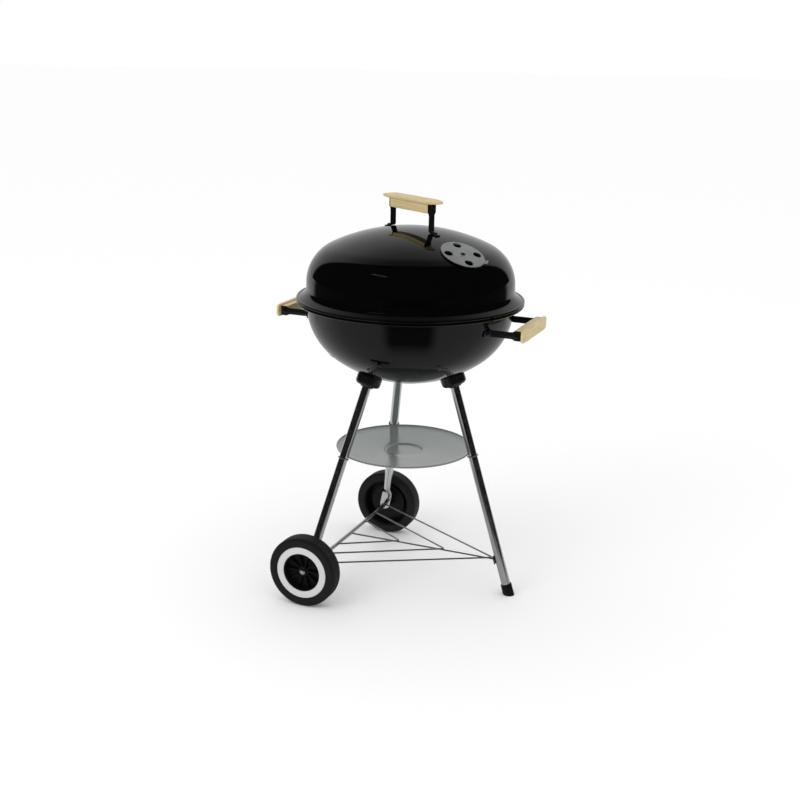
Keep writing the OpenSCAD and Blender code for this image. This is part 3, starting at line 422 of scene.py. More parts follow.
# Screws, bolts and nuts: turned steel, blackened and oiled after the threads are rolled.
# The oil leaves a dark metal with small uneven glints.
black_steel, tree, shader = new_material("blackened_steel")
shader["Base Color"].default_value = colour("#4a4a4c")
shader["Metallic"].default_value = 1.0
where = node(tree, "ShaderNodeTexCoord").outputs["Object"]
oily = node(tree, "ShaderNodeTexNoise", {"Vector": where, "Scale": 1 / (2 * MM), "Detail": 2.0})
dulled = node(tree, "ShaderNodeMapRange", {0: oily.outputs[0], 1: 0.3, 2: 0.7, 3: 0.25, 4: 0.4})
tree.links.new(dulled.outputs[0], shader["Roughness"])
for name in ("lid_bolts", "lid_nuts", "lid_grip_screws", "side_bolts", "side_nuts", "side_grip_screws",
             "socket_bolts", "socket_nuts", "shelf_screw"):
    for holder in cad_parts[name].material_slots:
        holder.material = black_steel

# Handle strips: flat steel bar, bent at the foot and flattened wider at the grip, bolted to the shell.
# The gloss black paint is dipped on and has a few soft runs.
black_paint, tree, shader = new_material("gloss_black_paint")
shader["Base Color"].default_value = colour("#131212")
shader["Roughness"].default_value = 0.22
where = node(tree, "ShaderNodeTexCoord").outputs["Object"]
runs = node(tree, "ShaderNodeTexNoise", {"Vector": where, "Scale": 1 / (3 * MM), "Detail": 2.0})
bump = node(tree, "ShaderNodeBump", {"Height": runs.outputs[0], "Strength": 0.05, "Distance": 0.2 * MM})
tree.links.new(bump.outputs[0], shader["Normal"])
STRIP_T = 2.5
STRIP_HALF = 6.75


def bent_strip(stations):
    mesh = bmesh.new()
    rows = [[mesh.verts.new((centre + across_strip * side_of * half) * MM) for side_of in (-1, 1)]
            for centre, across_strip, half in stations]
    for (a, b), (c, d) in zip(rows, rows[1:]):
        mesh.faces.new((a, b, d, c))
    return mesh


def strip_piece(name, meshes, places):
    whole = bmesh.new()
    for mesh, place in zip(meshes, places):
        bmesh.ops.transform(mesh, matrix=place, verts=mesh.verts)
        data = bpy.data.meshes.new("strip")
        mesh.to_mesh(data)
        mesh.free()
        whole.from_mesh(data)
        bpy.data.meshes.remove(data)
    piece = as_piece(name, whole, black_paint)
    wall = piece.modifiers.new("bar_thickness", "SOLIDIFY")
    wall.thickness = STRIP_T * MM
    wall.offset = 0.0
    wall.use_even_offset = True
    corner = piece.modifiers.new("rounded_edges", "BEVEL")
    corner.width = 0.5 * MM
    corner.segments = 2
    corner.limit_method = "ANGLE"
    return piece


LID_STRIP_X = 62
FOOT = 20
lid_foot_x = LID_STRIP_X + FOOT / 2 + STRIP_T
lid_foot_tilt = math.asin(lid_foot_x / LID_CROWN_R)
lid_grip_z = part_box("lid_grip")[0][2] / MM
foot_frame = (Matrix.Translation((lid_foot_x, 0, lid_at(lid_foot_x)))
              @ Matrix.Rotation(lid_foot_tilt, 4, "Y"))
wide = Vector((0, 1, 0))
foot_in = foot_frame @ Vector((-FOOT / 2 - 0.8, 0, STRIP_T / 2))
corner_r = 3.0
lid_stations = [(foot_frame @ Vector((FOOT / 2, 0, STRIP_T / 2)), wide, 3.8),
                (foot_frame @ Vector((FOOT / 2 - 1.6, 0, STRIP_T / 2)), wide, 5.9),
                (foot_frame @ Vector((FOOT / 2 - 4, 0, STRIP_T / 2)), wide, STRIP_HALF),
                (foot_in + Vector((corner_r * 0.9, 0, 0)), wide, STRIP_HALF),
                (foot_in + Vector((0.35, 0, 0.6)), wide, STRIP_HALF),
                (Vector((LID_STRIP_X + 0.1, 0, foot_in[2] + corner_r)), wide, STRIP_HALF),
                (Vector((LID_STRIP_X, 0, foot_in[2] + 1.6 * corner_r)), wide, STRIP_HALF),
                (Vector((LID_STRIP_X, 0, lid_grip_z - 5)), wide, STRIP_HALF),
                (Vector((LID_STRIP_X, 0, lid_grip_z - 2)), wide, 7.4),
                (Vector((LID_STRIP_X, 0, lid_grip_z + 0.5)), wide, 9.2),
                (Vector((LID_STRIP_X, 0, lid_grip_z + 2.2)), wide, 9.9),
                (Vector((LID_STRIP_X, 0, lid_grip_z + 18)), wide, 9.9)]
lid_brackets = strip_piece("lid_handle_strips", [bent_strip(lid_stations), bent_strip(lid_stations)],
                           [on_lid, on_lid @ Matrix.Rotation(math.pi, 4, "Z")])
place_on(lid_brackets, "lid", "black_steel", "lid_brackets")

SIDE_STRIP_Y = 72
side_z = 582.0
wall_lean = math.tan(math.radians(BOWL_DRAFT))
side_wall_r = BOWL_R - (bowl_wall_z - side_z) * wall_lean
side_foot_turn = math.asin((SIDE_STRIP_Y + FOOT / 2) / side_wall_r)
side_grip_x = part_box("side_grip_front")[0][0] / MM
on_wall = (Matrix.Rotation(side_foot_turn, 4, "Z") @ Matrix.Translation((side_wall_r, 0, side_z)))
leaning = Vector((wall_lean, 0, 1)).normalized()
leaning = Matrix.Rotation(side_foot_turn, 3, "Z") @ leaning
upright = Vector((0, 0, 1))
foot_out = on_wall @ Vector((STRIP_T / 2 + 0.1, FOOT / 2 - 1, 0))
foot_near = on_wall @ Vector((STRIP_T / 2 + 0.1, -FOOT / 2 + 3.2, 0))
foot_mid = foot_out.lerp(foot_near, 0.2)
side_stations = [(foot_out, leaning, 3.8), (foot_out.lerp(foot_near, 0.08), leaning, 5.9),
                 (foot_mid, leaning, STRIP_HALF), (foot_near, leaning, STRIP_HALF),
                 (Vector((foot_near[0] + 1.6, SIDE_STRIP_Y + 1.2, side_z)), (leaning + upright).normalized(),
                  STRIP_HALF),
                 (Vector((foot_near[0] + 4.5, SIDE_STRIP_Y, side_z)), upright, STRIP_HALF),
                 (Vector((side_grip_x - 5, SIDE_STRIP_Y, side_z)), upright, STRIP_HALF),
                 (Vector((side_grip_x - 2, SIDE_STRIP_Y, side_z)), upright, 7.4),
                 (Vector((side_grip_x + 0.5, SIDE_STRIP_Y, side_z)), upright, 9.2),
                 (Vector((side_grip_x + 2.2, SIDE_STRIP_Y, side_z)), upright, 9.9),
                 (Vector((side_grip_x + 14, SIDE_STRIP_Y, side_z)), upright, 9.9)]
mirror_y = Matrix.Scale(-1, 4, (0, 1, 0))
half_turn = Matrix.Rotation(math.pi, 4, "Z")
for name, node_name, place in (("front_handle_strips", "side_brackets_front", Matrix()),
                               ("back_handle_strips", "side_brackets_back", half_turn)):
    strips = strip_piece(name, [bent_strip(side_stations), bent_strip(side_stations)],
                         [place, place @ mirror_y])
    place_on(strips, "kettle", "black_steel", node_name)

# Wooden grips: beech, sanded and clear-varnished, a square block screwed between the strips
# with a rounded board over it that runs out to thinner ends. The grain runs along the board,
# with fine dark streaks and flecks under a thin coat.
BOARD_W = 25
BOARD_T = 9.5


def beech(name, turn_deg):
    material, tree, shader = new_material(name)
    shader["Roughness"].default_value = 0.42
    shader["Coat Weight"].default_value = 0.25
    shader["Coat Roughness"].default_value = 0.25
    where = node(tree, "ShaderNodeTexCoord").outputs["Object"]
    along = node(tree, "ShaderNodeMapping", {0: where, 2: (0, 0, math.radians(-turn_deg))}).outputs[0]
    long = node(tree, "ShaderNodeMapping", {0: along, 3: (0.07, 1.0, 1.0)}).outputs[0]
    rings = node(tree, "ShaderNodeTexNoise",
                 {"Vector": long, "Scale": 1 / (5 * MM), "Detail": 3.0, "Distortion": 0.5})
    fine = node(tree, "ShaderNodeTexNoise", {"Vector": long, "Scale": 1 / (0.9 * MM), "Detail": 2.0})
    flecks = node(tree, "ShaderNodeMapping", {0: along, 3: (0.25, 1.0, 1.0)}).outputs[0]
    fleck = node(tree, "ShaderNodeTexVoronoi", {"Vector": flecks, "Scale": 1 / (2.2 * MM)})
    band = node(tree, "ShaderNodeMapRange", {0: rings.outputs[0], 1: 0.35, 2: 0.68})
    tone = node(tree, "ShaderNodeMix", {0: band.outputs[0], 6: colour("#dccb98"), 7: colour("#c9b27c")},
                data_type="RGBA")
    thin = node(tree, "ShaderNodeMapRange", {0: fine.outputs[0], 1: 0.45, 2: 0.75, 3: 0.0, 4: 0.35})
    streak = node(tree, "ShaderNodeMix", {0: thin.outputs[0], 6: tone.outputs[2], 7: colour("#b39a62")},
                  data_type="RGBA")
    spot = node(tree, "ShaderNodeMapRange", {0: fleck.outputs["Distance"], 1: 0.0, 2: 0.12, 3: 0.3, 4: 0.0})
    whole = node(tree, "ShaderNodeMix", {0: spot.outputs[0], 6: streak.outputs[2], 7: colour("#a48a58")},
                 data_type="RGBA")
    tree.links.new(whole.outputs[2], shader["Base Color"])
    bump = node(tree, "ShaderNodeBump", {"Height": fine.outputs[0], "Strength": 0.15, "Distance": 0.15 * MM})
    tree.links.new(bump.outputs[0], shader["Normal"])
    return material


def grip_mesh(strip_at, over, block_h):
    block = bmesh.new()
    bmesh.ops.create_cube(block, size=1.0)
    block_size = ((2 * strip_at - STRIP_T) * MM, 20 * MM, (block_h + 1) * MM)
    bmesh.ops.scale(block, vec=block_size, verts=block.verts)
    bmesh.ops.translate(block, vec=(0, 0, (block_h + 1) / 2 * MM), verts=block.verts)
    bmesh.ops.bevel(block, geom=block.edges, offset=1.2 * MM, segments=3, profile=0.5, affect="EDGES",
                    material=-1)
    board = bmesh.new()
    bmesh.ops.create_cube(board, size=1.0)
    half = strip_at + over
    bmesh.ops.scale(board, vec=(2 * half * MM, BOARD_W * MM, BOARD_T * MM), verts=board.verts)
    for spot in (-half + 22, -half + 9, half - 9, half - 22):
        everything = board.verts[:] + board.edges[:] + board.faces[:]
        bmesh.ops.bisect_plane(board, geom=everything, plane_co=(spot * MM, 0, 0), plane_no=(1, 0, 0))
    for vert in board.verts:
        out = max(0.0, (abs(vert.co.x) / MM - (half - 22)) / 22)
        vert.co.z *= 1 - 0.5 * out
    corners = [e for e in board.edges if all(abs(abs(v.co.x) / MM - half) < 0.01 for v in e.verts)
               and abs(e.verts[0].co.y - e.verts[1].co.y) < 1e-6]
    bmesh.ops.bevel(board, geom=corners, offset=8.2 * MM, segments=7, profile=0.5, affect="EDGES",
                    material=-1)
    rims = [e for e in board.edges if len(e.link_faces) == 2 and e.calc_face_angle(0) > math.radians(40)]
    bmesh.ops.bevel(board, geom=rims, offset=1.9 * MM, segments=4, profile=0.5, affect="EDGES", material=-1)
    bmesh.ops.translate(board, vec=(0, 0, (block_h + BOARD_T / 2) * MM), verts=board.verts)
    data = bpy.data.meshes.new("board")
    board.to_mesh(data)
    board.free()
    block.from_mesh(data)
    bpy.data.meshes.remove(data)
    return block


lid_beech = beech("varnished_beech_lid", LID_TURN)
lid_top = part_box("lid_grip")
lid_height = (lid_top[1][2] - lid_top[0][2]) / MM
place = on_lid @ Matrix.Translation((0, 0, lid_grip_z * MM))
lid_grip = as_piece("lid_beech_grip", grip_mesh(LID_STRIP_X, 24, lid_height - BOARD_T), lid_beech, place)
place_on(lid_grip, "lid", "pale_wood", "lid_grip")
side_beech = beech("varnished_beech_side", 90)
front_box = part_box("side_grip_front")
side_depth = (front_box[1][0] - front_box[0][0]) / MM
on_side = (Matrix.Translation((side_grip_x * MM, 0, side_z * MM)) @ Matrix.Rotation(math.pi / 2, 4, "Y")
           @ Matrix.Rotation(math.pi / 2, 4, "Z"))
for name, node_name, place in (("front_beech_grip", "side_grip_front", on_side),
                               ("back_beech_grip", "side_grip_back", half_turn @ on_side)):
    grip = as_piece(name, grip_mesh(SIDE_STRIP_Y, 9, side_depth - BOARD_T), side_beech, place)
    place_on(grip, "kettle", "pale_wood", node_name)

# Leg sockets: moulded cups bolted under the bowl, each with a collar where its leg goes in.
# The black phenolic is hard and fairly glossy, with a very fine skin.
black_moulding, tree, shader = new_material("black_moulded_phenolic")
shader["Base Color"].default_value = colour("#121213")
shader["Roughness"].default_value = 0.3
where = node(tree, "ShaderNodeTexCoord").outputs["Object"]
skin = node(tree, "ShaderNodeTexNoise", {"Vector": where, "Scale": 1 / (1.5 * MM), "Detail": 3.0})
bump = node(tree, "ShaderNodeBump", {"Height": skin.outputs[0], "Strength": 0.08, "Distance": 0.1 * MM})
tree.links.new(bump.outputs[0], shader["Normal"])
SOCKET_R = 96.5
WHEEL_LEG_TURN = 123.5
socket_z = bowl_centre_z - math.sqrt(BOWL_CROWN_R ** 2 - SOCKET_R ** 2)
socket_tilt = math.asin(SOCKET_R / BOWL_CROWN_R)
socket_outline = ([(24, -0.9), (25.6, -0.9), (26, -0.4), (26, 4)] + arc((18, 12), 8, 0, 90, 8)
                  + [(14.5, 20), (14, 20.6), (13.4, 22.4), (12.4, 23), (9.8, 23), (9.2, 22), (9.0, 19)]
                  + [(0, 18.5), (0, 17), (14, 17), (20, 14), (22.5, 9), (24, 4)])
for name, node_name, turn_deg in (("front_leg_socket", "socket_front", 0),
                                  ("left_leg_socket", "socket_left", WHEEL_LEG_TURN),
                                  ("right_leg_socket", "socket_right", -WHEEL_LEG_TURN)):
    place = (Matrix.Rotation(math.radians(turn_deg), 4, "Z")
             @ Matrix.Translation((SOCKET_R * MM, 0, socket_z * MM))
             @ Matrix.Rotation(math.pi - socket_tilt, 4, "Y"))
    socket = as_piece(name, turned(socket_outline, 72), black_moulding, place)
    place_on(socket, "kettle", "black_socket", node_name)

# Legs: steel tube pushed up into the sockets. The two wheel legs are squeezed flat at the bottom
# and drilled for the axle. The chrome is a clear mirror with a slight haze along the tube.
chrome, tree, shader = new_material("chromed_tube")
shader["Base Color"].default_value = colour("#e9ebe9")
shader["Metallic"].default_value = 1.0
where = node(tree, "ShaderNodeTexCoord").outputs["Object"]
haze = node(tree, "ShaderNodeTexNoise", {"Vector": where, "Scale": 1 / (14 * MM), "Detail": 3.0})
dulled = node(tree, "ShaderNodeMapRange", {0: haze.outputs[0], 1: 0.3, 2: 0.7, 3: 0.08, 4: 0.17})
tree.links.new(dulled.outputs[0], shader["Roughness"])
LEG_R = 9.5
LUG_R = 12
LUG_HALF_T = 1.6
LEG_END_Y = 197
LEG_END_RISE = 24
FOOT_X = 240


def towards(start, end, distance):
    return start + (end - start).normalized() * distance


def ring_matrix(centre, along, wide, half_wide, half_thick):
    along = along.normalized()
    thick = along.cross(wide).normalized()
    wide = thick.cross(along).normalized()
    turn = Matrix((wide * half_wide * MM, thick * half_thick * MM, along)).transposed().to_4x4()
    return Matrix.Translation(centre * MM) @ turn


def lofted(rings, sides=40):
    mesh = bmesh.new()
    last = None
    for matrix in rings:
        ring = bmesh.ops.create_circle(mesh, cap_ends=False, segments=sides, radius=1.0, matrix=matrix)
        made = ring["verts"]
        edges = list({e for v in made for e in v.link_edges if e.other_vert(v) in made})
        if last:
            bmesh.ops.bridge_loops(mesh, edges=last + edges)
        last = edges
    bmesh.ops.holes_fill(mesh, edges=mesh.edges, sides=0)
    bmesh.ops.recalc_face_normals(mesh, faces=mesh.faces)
    return mesh


front_top = Vector((SOCKET_R, 0, socket_z))
front_foot = Vector((FOOT_X, 0, 0))
axle_x, axle_z = -134.5, 74.5
leg_wide = Vector((1, 0, 0))
front_rings = [ring_matrix(spot, front_foot - front_top, leg_wide, LEG_R, LEG_R)
               for spot in (towards(front_top, front_foot, 9), towards(front_foot, front_top, 6))]
front_leg = as_piece("front_leg_tube", lofted(front_rings), chrome)
place_on(front_leg, "kettle", "chrome_tube", "leg_front")
for name, node_name, y in (("left_leg_tube", "leg_left", 1), ("right_leg_tube", "leg_right", -1)):
    spread = math.radians(WHEEL_LEG_TURN)
    top = Vector((SOCKET_R * math.cos(spread), y * SOCKET_R * math.sin(spread), socket_z))
    lean = math.atan2(top[0] - axle_x, socket_z - axle_z)
    end = Vector((LEG_END_RISE * math.tan(lean) + axle_x, y * LEG_END_Y, axle_z + LEG_END_RISE))
    axle_at = Vector((axle_x, y * LEG_END_Y, axle_z))
    down = end - top
    plate = axle_at - end
    rings = [ring_matrix(towards(top, end, 9), down, leg_wide, LEG_R, LEG_R),
             ring_matrix(towards(end, top, 26), down, leg_wide, LEG_R, LEG_R)]
    for share in (0.15, 0.35, 0.6, 0.8, 0.93, 1.0):
        ease = share * share * (3 - 2 * share)
        spot = towards(end, top, 26).lerp(end, share)
        rings.append(ring_matrix(spot, down.normalized().lerp(plate.normalized(), ease), leg_wide,
                                 LEG_R + (LUG_R - LEG_R) * ease, LEG_R + (LUG_HALF_T - LEG_R) * ease))
    rings.append(ring_matrix(axle_at, plate, leg_wide, LUG_R, LUG_HALF_T))
    for turn_deg in (20, 40, 55, 68, 78, 86):
        spot = axle_at + plate.normalized() * LUG_R * math.sin(math.radians(turn_deg))
        rings.append(ring_matrix(spot, plate, leg_wide, LUG_R * math.cos(math.radians(turn_deg)),
                                 LUG_HALF_T * (0.6 + 0.4 * math.cos(math.radians(turn_deg)))))
    leg = as_piece(name, lofted(rings), chrome)
    place_on(leg, "kettle", "chrome_tube", node_name)

# Foot cap: a moulded polypropylene cap pushed over the front leg, cut level where it meets the ground.
# The plastic is dull black with a fine grit, and so are the wheels' centres.
cap_outline = [(0, -14), (11.7, -14), (11.7, 22.8), (11.2, 23.8), (9.7, 24), (9.55, 23.6), (9.5, 5), (0, 5)]
along_leg = (front_top - front_foot).normalized()
cap_place = Matrix.Translation(front_foot * MM) @ along_leg.to_track_quat("Z", "Y").to_matrix().to_4x4()
cap_mesh = turned(cap_outline, 64, closed=False)
bmesh.ops.transform(cap_mesh, matrix=cap_place, verts=cap_mesh.verts)
everything = cap_mesh.verts[:] + cap_mesh.edges[:] + cap_mesh.faces[:]
bmesh.ops.bisect_plane(cap_mesh, geom=everything, plane_co=(0, 0, 0), plane_no=(0, 0, 1), clear_inner=True)
bmesh.ops.holes_fill(cap_mesh, edges=cap_mesh.edges, sides=0)
bmesh.ops.recalc_face_normals(cap_mesh, faces=cap_mesh.faces)
black_plastic, tree, shader = new_material("black_moulded_polypropylene")
shader["Base Color"].default_value = colour("#0f0f10")
shader["Specular IOR Level"].default_value = 0.25
shader["Roughness"].default_value = 0.42
where = node(tree, "ShaderNodeTexCoord").outputs["Object"]
grit = node(tree, "ShaderNodeTexNoise", {"Vector": where, "Scale": 1 / (0.8 * MM), "Detail": 3.0})
bump = node(tree, "ShaderNodeBump", {"Height": grit.outputs[0], "Strength": 0.12, "Distance": 0.1 * MM})
tree.links.new(bump.outputs[0], shader["Normal"])
foot_cap = as_piece("front_foot_cap", cap_mesh, black_plastic)
place_on(foot_cap, "kettle", "black_plastic", "foot_cap")

# Ash tray: a shallow dish spun from thin steel with a pressed round in the middle and a rolled edge,
# finished in glossy silver-grey paint with a slow waviness. It rests on a wire ring round each leg.
silver_paint, tree, shader = new_material("silver_grey_paint")
shader["Base Color"].default_value = colour("#a3a9a6")
shader["Metallic"].default_value = 0.55
where = node(tree, "ShaderNodeTexCoord").outputs["Object"]
wavy = node(tree, "ShaderNodeTexNoise", {"Vector": where, "Scale": 1 / (35 * MM), "Detail": 2.0})
dulled = node(tree, "ShaderNodeMapRange", {0: wavy.outputs[0], 1: 0.3, 2: 0.7, 3: 0.14, 4: 0.22})
tree.links.new(dulled.outputs[0], shader["Roughness"])
bump = node(tree, "ShaderNodeBump", {"Height": wavy.outputs[0], "Strength": 0.06, "Distance": 1 * MM})
tree.links.new(bump.outputs[0], shader["Normal"])
tray_low, tray_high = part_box("ash_tray")
tray_r = (tray_high[0] - tray_low[0]) / 2 / MM
tray_x = (tray_high[0] + tray_low[0]) / 2 / MM
tray_z = tray_high[2] / MM
tray_floor = tray_low[2] / MM
tray_bead = 1.6
tray_sheet = 0.9
tray_top = ([(0, tray_sheet), (20, tray_sheet), (36, tray_sheet)]
            + [(37.2, 1.1), (38.4, 1.8), (40.2, 3.0), (41.4, 3.7), (43, 4.0)]
            + [(43 + (tray_r - 49) * i / 6, 4.0 + (tray_z - tray_floor - 7.4) * (i / 6) ** 1.15)
               for i in range(1, 7)])
tray_outline = ([(r, tray_floor + z) for r, z in tray_top]
                + [(tray_r - 3.4, tray_z - 2.0)]
                + arc((tray_r - tray_bead, tray_z - tray_bead), tray_bead, 170, -150, 18)
                + [(r, tray_floor + z - tray_sheet) for r, z in tray_top[::-1]])
tray = as_piece("spun_ash_tray", turned(tray_outline, 144, closed=False), silver_paint,
                Matrix.Translation((tray_x * MM, 0, 0)))
place_on(tray, "kettle", "tray_steel", "ash_tray")

# Wire shelf: a long wire beside the axle, a centre wire and three bent ones, welded where they cross, with
# two eyes for the axle and a lug screwed to the front leg. Zinc-plated drawn wire, bright with faint marks.
bright_wire, tree, shader = new_material("bright_drawn_wire")
shader["Base Color"].default_value = colour("#b4b6b4")
shader["Metallic"].default_value = 1.0
shader["Roughness"].default_value = 0.28
where = node(tree, "ShaderNodeTexCoord").outputs["Object"]
drawn = node(tree, "ShaderNodeTexNoise", {"Vector": where, "Scale": 1 / (2.5 * MM), "Detail": 2.0})
bump = node(tree, "ShaderNodeBump", {"Height": drawn.outputs[0], "Strength": 0.06, "Distance": 0.2 * MM})
tree.links.new(bump.outputs[0], shader["Normal"])


def add_wire(mesh, points, radius, closed=False):
    line = bpy.data.curves.new("wire", "CURVE")
    line.dimensions = "3D"
    line.bevel_depth = radius * MM
    line.bevel_resolution = 3
    line.use_fill_caps = True
    run = line.splines.new("POLY")
    run.points.add(len(points) - 1)
    for spot, place in zip(run.points, points):
        spot.co = (*(Vector(place) * MM), 1)
    run.use_cyclic_u = closed
    holder = bpy.data.objects.new("wire", line)
    data = bpy.data.meshes.new_from_object(holder)
    mesh.from_mesh(data)
    bpy.data.objects.remove(holder)
    bpy.data.curves.remove(line)
    bpy.data.meshes.remove(data)


def bend(before, corner, after, radius, steps=6):
    before, corner, after = Vector(before), Vector(corner), Vector(after)
    start = towards(corner, before, radius)
    end = towards(corner, after, radius)
    return [start.lerp(corner, t).lerp(corner.lerp(end, t), t) for t in (i / steps for i in range(steps + 1))]


WIRE_R = 1.75
side_wire_x = axle_x + 3 + WIRE_R + 0.3
over_z = axle_z + 2 * WIRE_R - 0.4
share = (socket_z - axle_z) / socket_z
front_lean = math.atan2(FOOT_X - SOCKET_R, socket_z)
shelf_leg_x = SOCKET_R + (FOOT_X - SOCKET_R) * share - LEG_R / math.cos(front_lean)
shelf = bmesh.new()
HALF = 188
add_wire(shelf, [(side_wire_x, -HALF - WIRE_R, axle_z), (side_wire_x, HALF + WIRE_R, axle_z)], WIRE_R)
add_wire(shelf, [(side_wire_x, 0, axle_z), (shelf_leg_x - 1.3, 0, axle_z)], WIRE_R)
for half, tip in ((HALF, shelf_leg_x - 6), (131, 91.5), (74, -13.5)):
    left, point, right = (side_wire_x, -half, over_z), (tip, 0, over_z), (side_wire_x, half, over_z)
    add_wire(shelf, [left] + bend(left, point, right, 7) + [right], WIRE_R)
bmesh.ops.recalc_face_normals(shelf, faces=shelf.faces)
for y in (-1, 1):
    eye = turned([(3.2, -1.5), (5.5, -1.5), (5.5, 1.5), (3.2, 1.5)], 32)
    bmesh.ops.transform(eye, matrix=Matrix.Translation((axle_x * MM, y * (HALF - 3) * MM, axle_z * MM))
                        @ Matrix.Rotation(math.pi / 2, 4, "X"), verts=eye.verts)
    data = bpy.data.meshes.new("eye")
    eye.to_mesh(data)
    eye.free()
    shelf.from_mesh(data)
    bpy.data.meshes.remove(data)
lug = bmesh.new()
bmesh.ops.create_cube(lug, size=1.0)
bmesh.ops.scale(lug, vec=(2 * MM, 18 * MM, 18 * MM), verts=lug.verts)
bmesh.ops.bevel(lug, geom=lug.edges, offset=0.6 * MM, segments=2, profile=0.5, affect="EDGES", material=-1)
lug_place = (Matrix.Translation((shelf_leg_x * MM, 0, axle_z * MM)) @ Matrix.Rotation(-front_lean, 4, "Y")
             @ Matrix.Translation((-1.3 * MM, 0, 0)))
bmesh.ops.transform(lug, matrix=lug_place, verts=lug.verts)
data = bpy.data.meshes.new("lug")
lug.to_mesh(data)
lug.free()
shelf.from_mesh(data)
bpy.data.meshes.remove(data)
wire_shelf = as_piece("welded_wire_shelf", shelf, bright_wire)
place_on(wire_shelf, "kettle", "bright_steel", "wire_shelf")
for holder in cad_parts["tray_clips"].material_slots:
    holder.material = bright_wire

# Grates: a ring of thicker wire with rods welded across it and two cross bars underneath.
# The cooking grate lies on the upper ledges and the charcoal grate, with wider gaps, on the lower ones.
RING_WIRE_R = 3
for name, node_name, body, pitch in (("welded_cooking_grate", "cooking_grate", "cooking_grate", 15),
                                     ("welded_charcoal_grate", "charcoal_grate", "charcoal_grate", 20)):
    low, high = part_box(node_name)
    ring_r = (high[0] - low[0]) / 2 / MM - RING_WIRE_R
    ring_z = high[2] / MM - RING_WIRE_R
    grate = bmesh.new()
    turns = [math.tau * i / 120 for i in range(120)]
    circle = [(ring_r * math.cos(t), ring_r * math.sin(t), ring_z) for t in turns]
    add_wire(grate, circle, RING_WIRE_R, closed=True)
    for y in (-0.45 * ring_r, 0.45 * ring_r):
        reach = math.sqrt(ring_r ** 2 - y ** 2)
        add_wire(grate, [(-reach, y, ring_z - 4.2), (reach, y, ring_z - 4.2)], 2.5)
    count = int((ring_r - RING_WIRE_R - 4) / pitch)
    for i in range(-count, count + 1):
        reach = math.sqrt(ring_r ** 2 - (i * pitch) ** 2)
        add_wire(grate, [(i * pitch, -reach, ring_z), (i * pitch, reach, ring_z)], 2)
    piece = as_piece(name, grate, bright_wire)
    slot = "bright_steel" if node_name == "cooking_grate" else "plain_steel"
    place_on(piece, body, slot, node_name)

# Axle: a chromed rod through both flattened legs, with washers inside the wheels.
# A chromed cap is pushed on at each end and holds the wheel.
AXLE_R = 3.0
for name in ("axle", "axle_washers"):
    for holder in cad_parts[name].material_slots:
        holder.material = chrome
cap_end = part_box("axle_caps")[1][1] / MM
cap_r = 6.5
dome_z = cap_end - 2.6
push_cap = ([(AXLE_R, cap_end - 5), (cap_r - 0.2, cap_end - 5), (cap_r, cap_end - 4.7), (cap_r, dome_z)]
            + [(cap_r * math.cos(math.radians(t)), dome_z + 2.6 * math.sin(math.radians(t)))
               for t in (20, 40, 60, 75)]
            + [(0, cap_end), (0, cap_end - 2.4), (AXLE_R, cap_end - 2.4)])
caps = turned(push_cap, 48)
twin = bpy.data.meshes.new("cap")
caps.to_mesh(twin)
bmesh.ops.rotate(caps, cent=(0, 0, 0), matrix=Matrix.Rotation(math.pi, 3, "X"), verts=caps.verts)
caps.from_mesh(twin)
bpy.data.meshes.remove(twin)
axle_caps = as_piece("push_on_axle_caps", caps, chrome, Matrix.Translation((axle_x * MM, 0, axle_z * MM))
                     @ Matrix.Rotation(-math.pi / 2, 4, "X"))
place_on(axle_caps, "kettle", "chrome_tube", "axle_caps")

# Wheels: a blow-moulded black tyre with fine cross ribs, on a black disc with radial ribs
# and a deep hollow back, and a plain pale ring pressed into its outer face. The tyre is matt with
# a coarse grit, and the ring has a soft shine.
tyre_black, tree, shader = new_material("black_moulded_tyre")
shader["Base Color"].default_value = colour("#18181a")
shader["Specular IOR Level"].default_value = 0.3
shader["Roughness"].default_value = 0.5
where = node(tree, "ShaderNodeTexCoord").outputs["Object"]
grit = node(tree, "ShaderNodeTexNoise", {"Vector": where, "Scale": 1 / (1.2 * MM), "Detail": 4.0})
bump = node(tree, "ShaderNodeBump", {"Height": grit.outputs[0], "Strength": 0.2, "Distance": 0.15 * MM})
tree.links.new(bump.outputs[0], shader["Normal"])
pale_plastic, tree, shader = new_material("white_moulded_ring")
shader["Base Color"].default_value = colour("#cdcecc")
shader["Roughness"].default_value = 0.35
where = node(tree, "ShaderNodeTexCoord").outputs["Object"]
skin = node(tree, "ShaderNodeTexNoise", {"Vector": where, "Scale": 1 / (2 * MM), "Detail": 2.0})
bump = node(tree, "ShaderNodeBump", {"Height": skin.outputs[0], "Strength": 0.06, "Distance": 0.1 * MM})
tree.links.new(bump.outputs[0], shader["Normal"])
TYRE_R, TYRE_W, DISC_R, BORE_R = 74.5, 36.0, 55.5, 3.08
RIBS = 96
tyre_outline = ([(DISC_R, 1.0), (DISC_R + 1, 0.2), (DISC_R + 3, 0), (DISC_R + 8, 0)]
                + arc((68.5, 6), 6, 270, 360, 10)
                + [(TYRE_R, 12), (TYRE_R, 18), (TYRE_R, 24)] + arc((68.5, 30), 6, 0, 90, 10)
                + [(DISC_R + 8, 36), (DISC_R + 3, 36), (DISC_R + 1, 35.8), (DISC_R, 35)])
disc_outline = [(BORE_R, -1.2), (10.4, -1.2), (11, -0.6), (11, 15), (41, 15), (41, 28.5), (53, 28.5),
                (53, 3.5), (53.5, 3), (55, 3), (DISC_R, 3.5), (DISC_R, 31), (41, 31), (41, 33.6), (40.6, 34),
                (38.9, 34), (38.5, 33.6), (38.5, 19.5), (37.5, 17.9), (35, 17.5), (15, 17.5), (11.6, 18),
                (11, 19.5), (11, 26), (10.2, 26.8), (BORE_R, 26.8)]
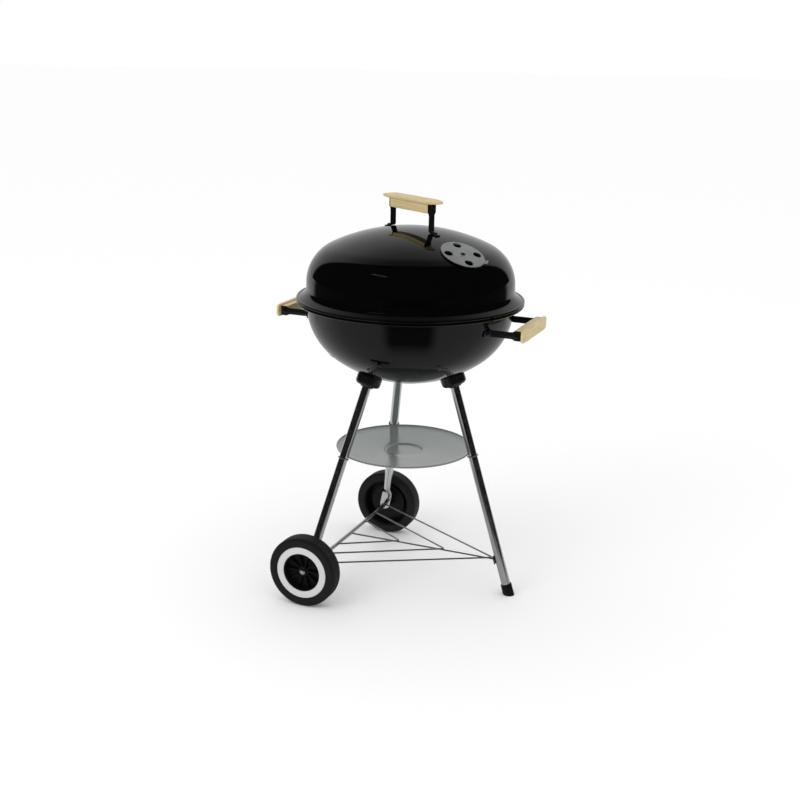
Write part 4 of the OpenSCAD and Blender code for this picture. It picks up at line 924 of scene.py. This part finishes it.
ring_outline = [(41.1, 0.3), (55.3, 0.3), (55.4, 3.6), (54.8, 4.3), (53.8, 4.5), (42.6, 4.5), (41.6, 4.3),
                (41.1, 3.6)]
for label, y in (("left", 1), ("right", -1)):
    tyre_in_y = (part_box(f"tyre_{label}")[0][1] if y > 0 else -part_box(f"tyre_{label}")[1][1]) / MM
    place = (Matrix.Translation((axle_x * MM, y * tyre_in_y * MM, axle_z * MM))
             @ Matrix.Rotation(math.radians(-90 * y), 4, "X"))
    body = f"{label}_wheel"
    tyre_mesh = turned(tyre_outline, RIBS * 4)
    for vert in tyre_mesh.verts:
        step = round(math.atan2(vert.co.y, vert.co.x) / (math.tau / (RIBS * 4))) % 4
        away_r = math.hypot(vert.co.x, vert.co.y) / MM
        if step in (0, 1) and away_r > 69:
            deep = 0.8 * min(1.0, (away_r - 69) / 3)
            vert.co.x *= 1 - deep / away_r
            vert.co.y *= 1 - deep / away_r
    tyre = as_piece(f"{label}_ribbed_tyre", tyre_mesh, tyre_black, place)
    place_on(tyre, body, "black_tyre", f"tyre_{label}")
    disc_mesh = turned(disc_outline, 96)
    for i in range(10):
        rib = bmesh.new()
        bmesh.ops.create_cube(rib, size=1.0)
        bmesh.ops.scale(rib, vec=(29 * MM, 2.4 * MM, 9 * MM), verts=rib.verts)
        bmesh.ops.bevel(rib, geom=rib.edges, offset=0.7 * MM, segments=2, profile=0.5, affect="EDGES",
                        material=-1)
        bmesh.ops.translate(rib, vec=(24.5 * MM, 0, 21 * MM), verts=rib.verts)
        bmesh.ops.rotate(rib, cent=(0, 0, 0), matrix=Matrix.Rotation(math.tau / 10 * i, 3, "Z"),
                         verts=rib.verts)
        data = bpy.data.meshes.new("rib")
        rib.to_mesh(data)
        rib.free()
        disc_mesh.from_mesh(data)
        bpy.data.meshes.remove(data)
    disc = as_piece(f"{label}_wheel_centre", disc_mesh, black_plastic, place)
    place_on(disc, body, "black_plastic", f"wheel_disc_{label}")
    ring_place = place @ Matrix.Translation((0, 0, (TYRE_W - 5) * MM))
    ring = as_piece(f"{label}_pale_ring", turned(ring_outline, 128), pale_plastic, ring_place)
    place_on(ring, body, "pale_plastic", f"wheel_ring_{label}")
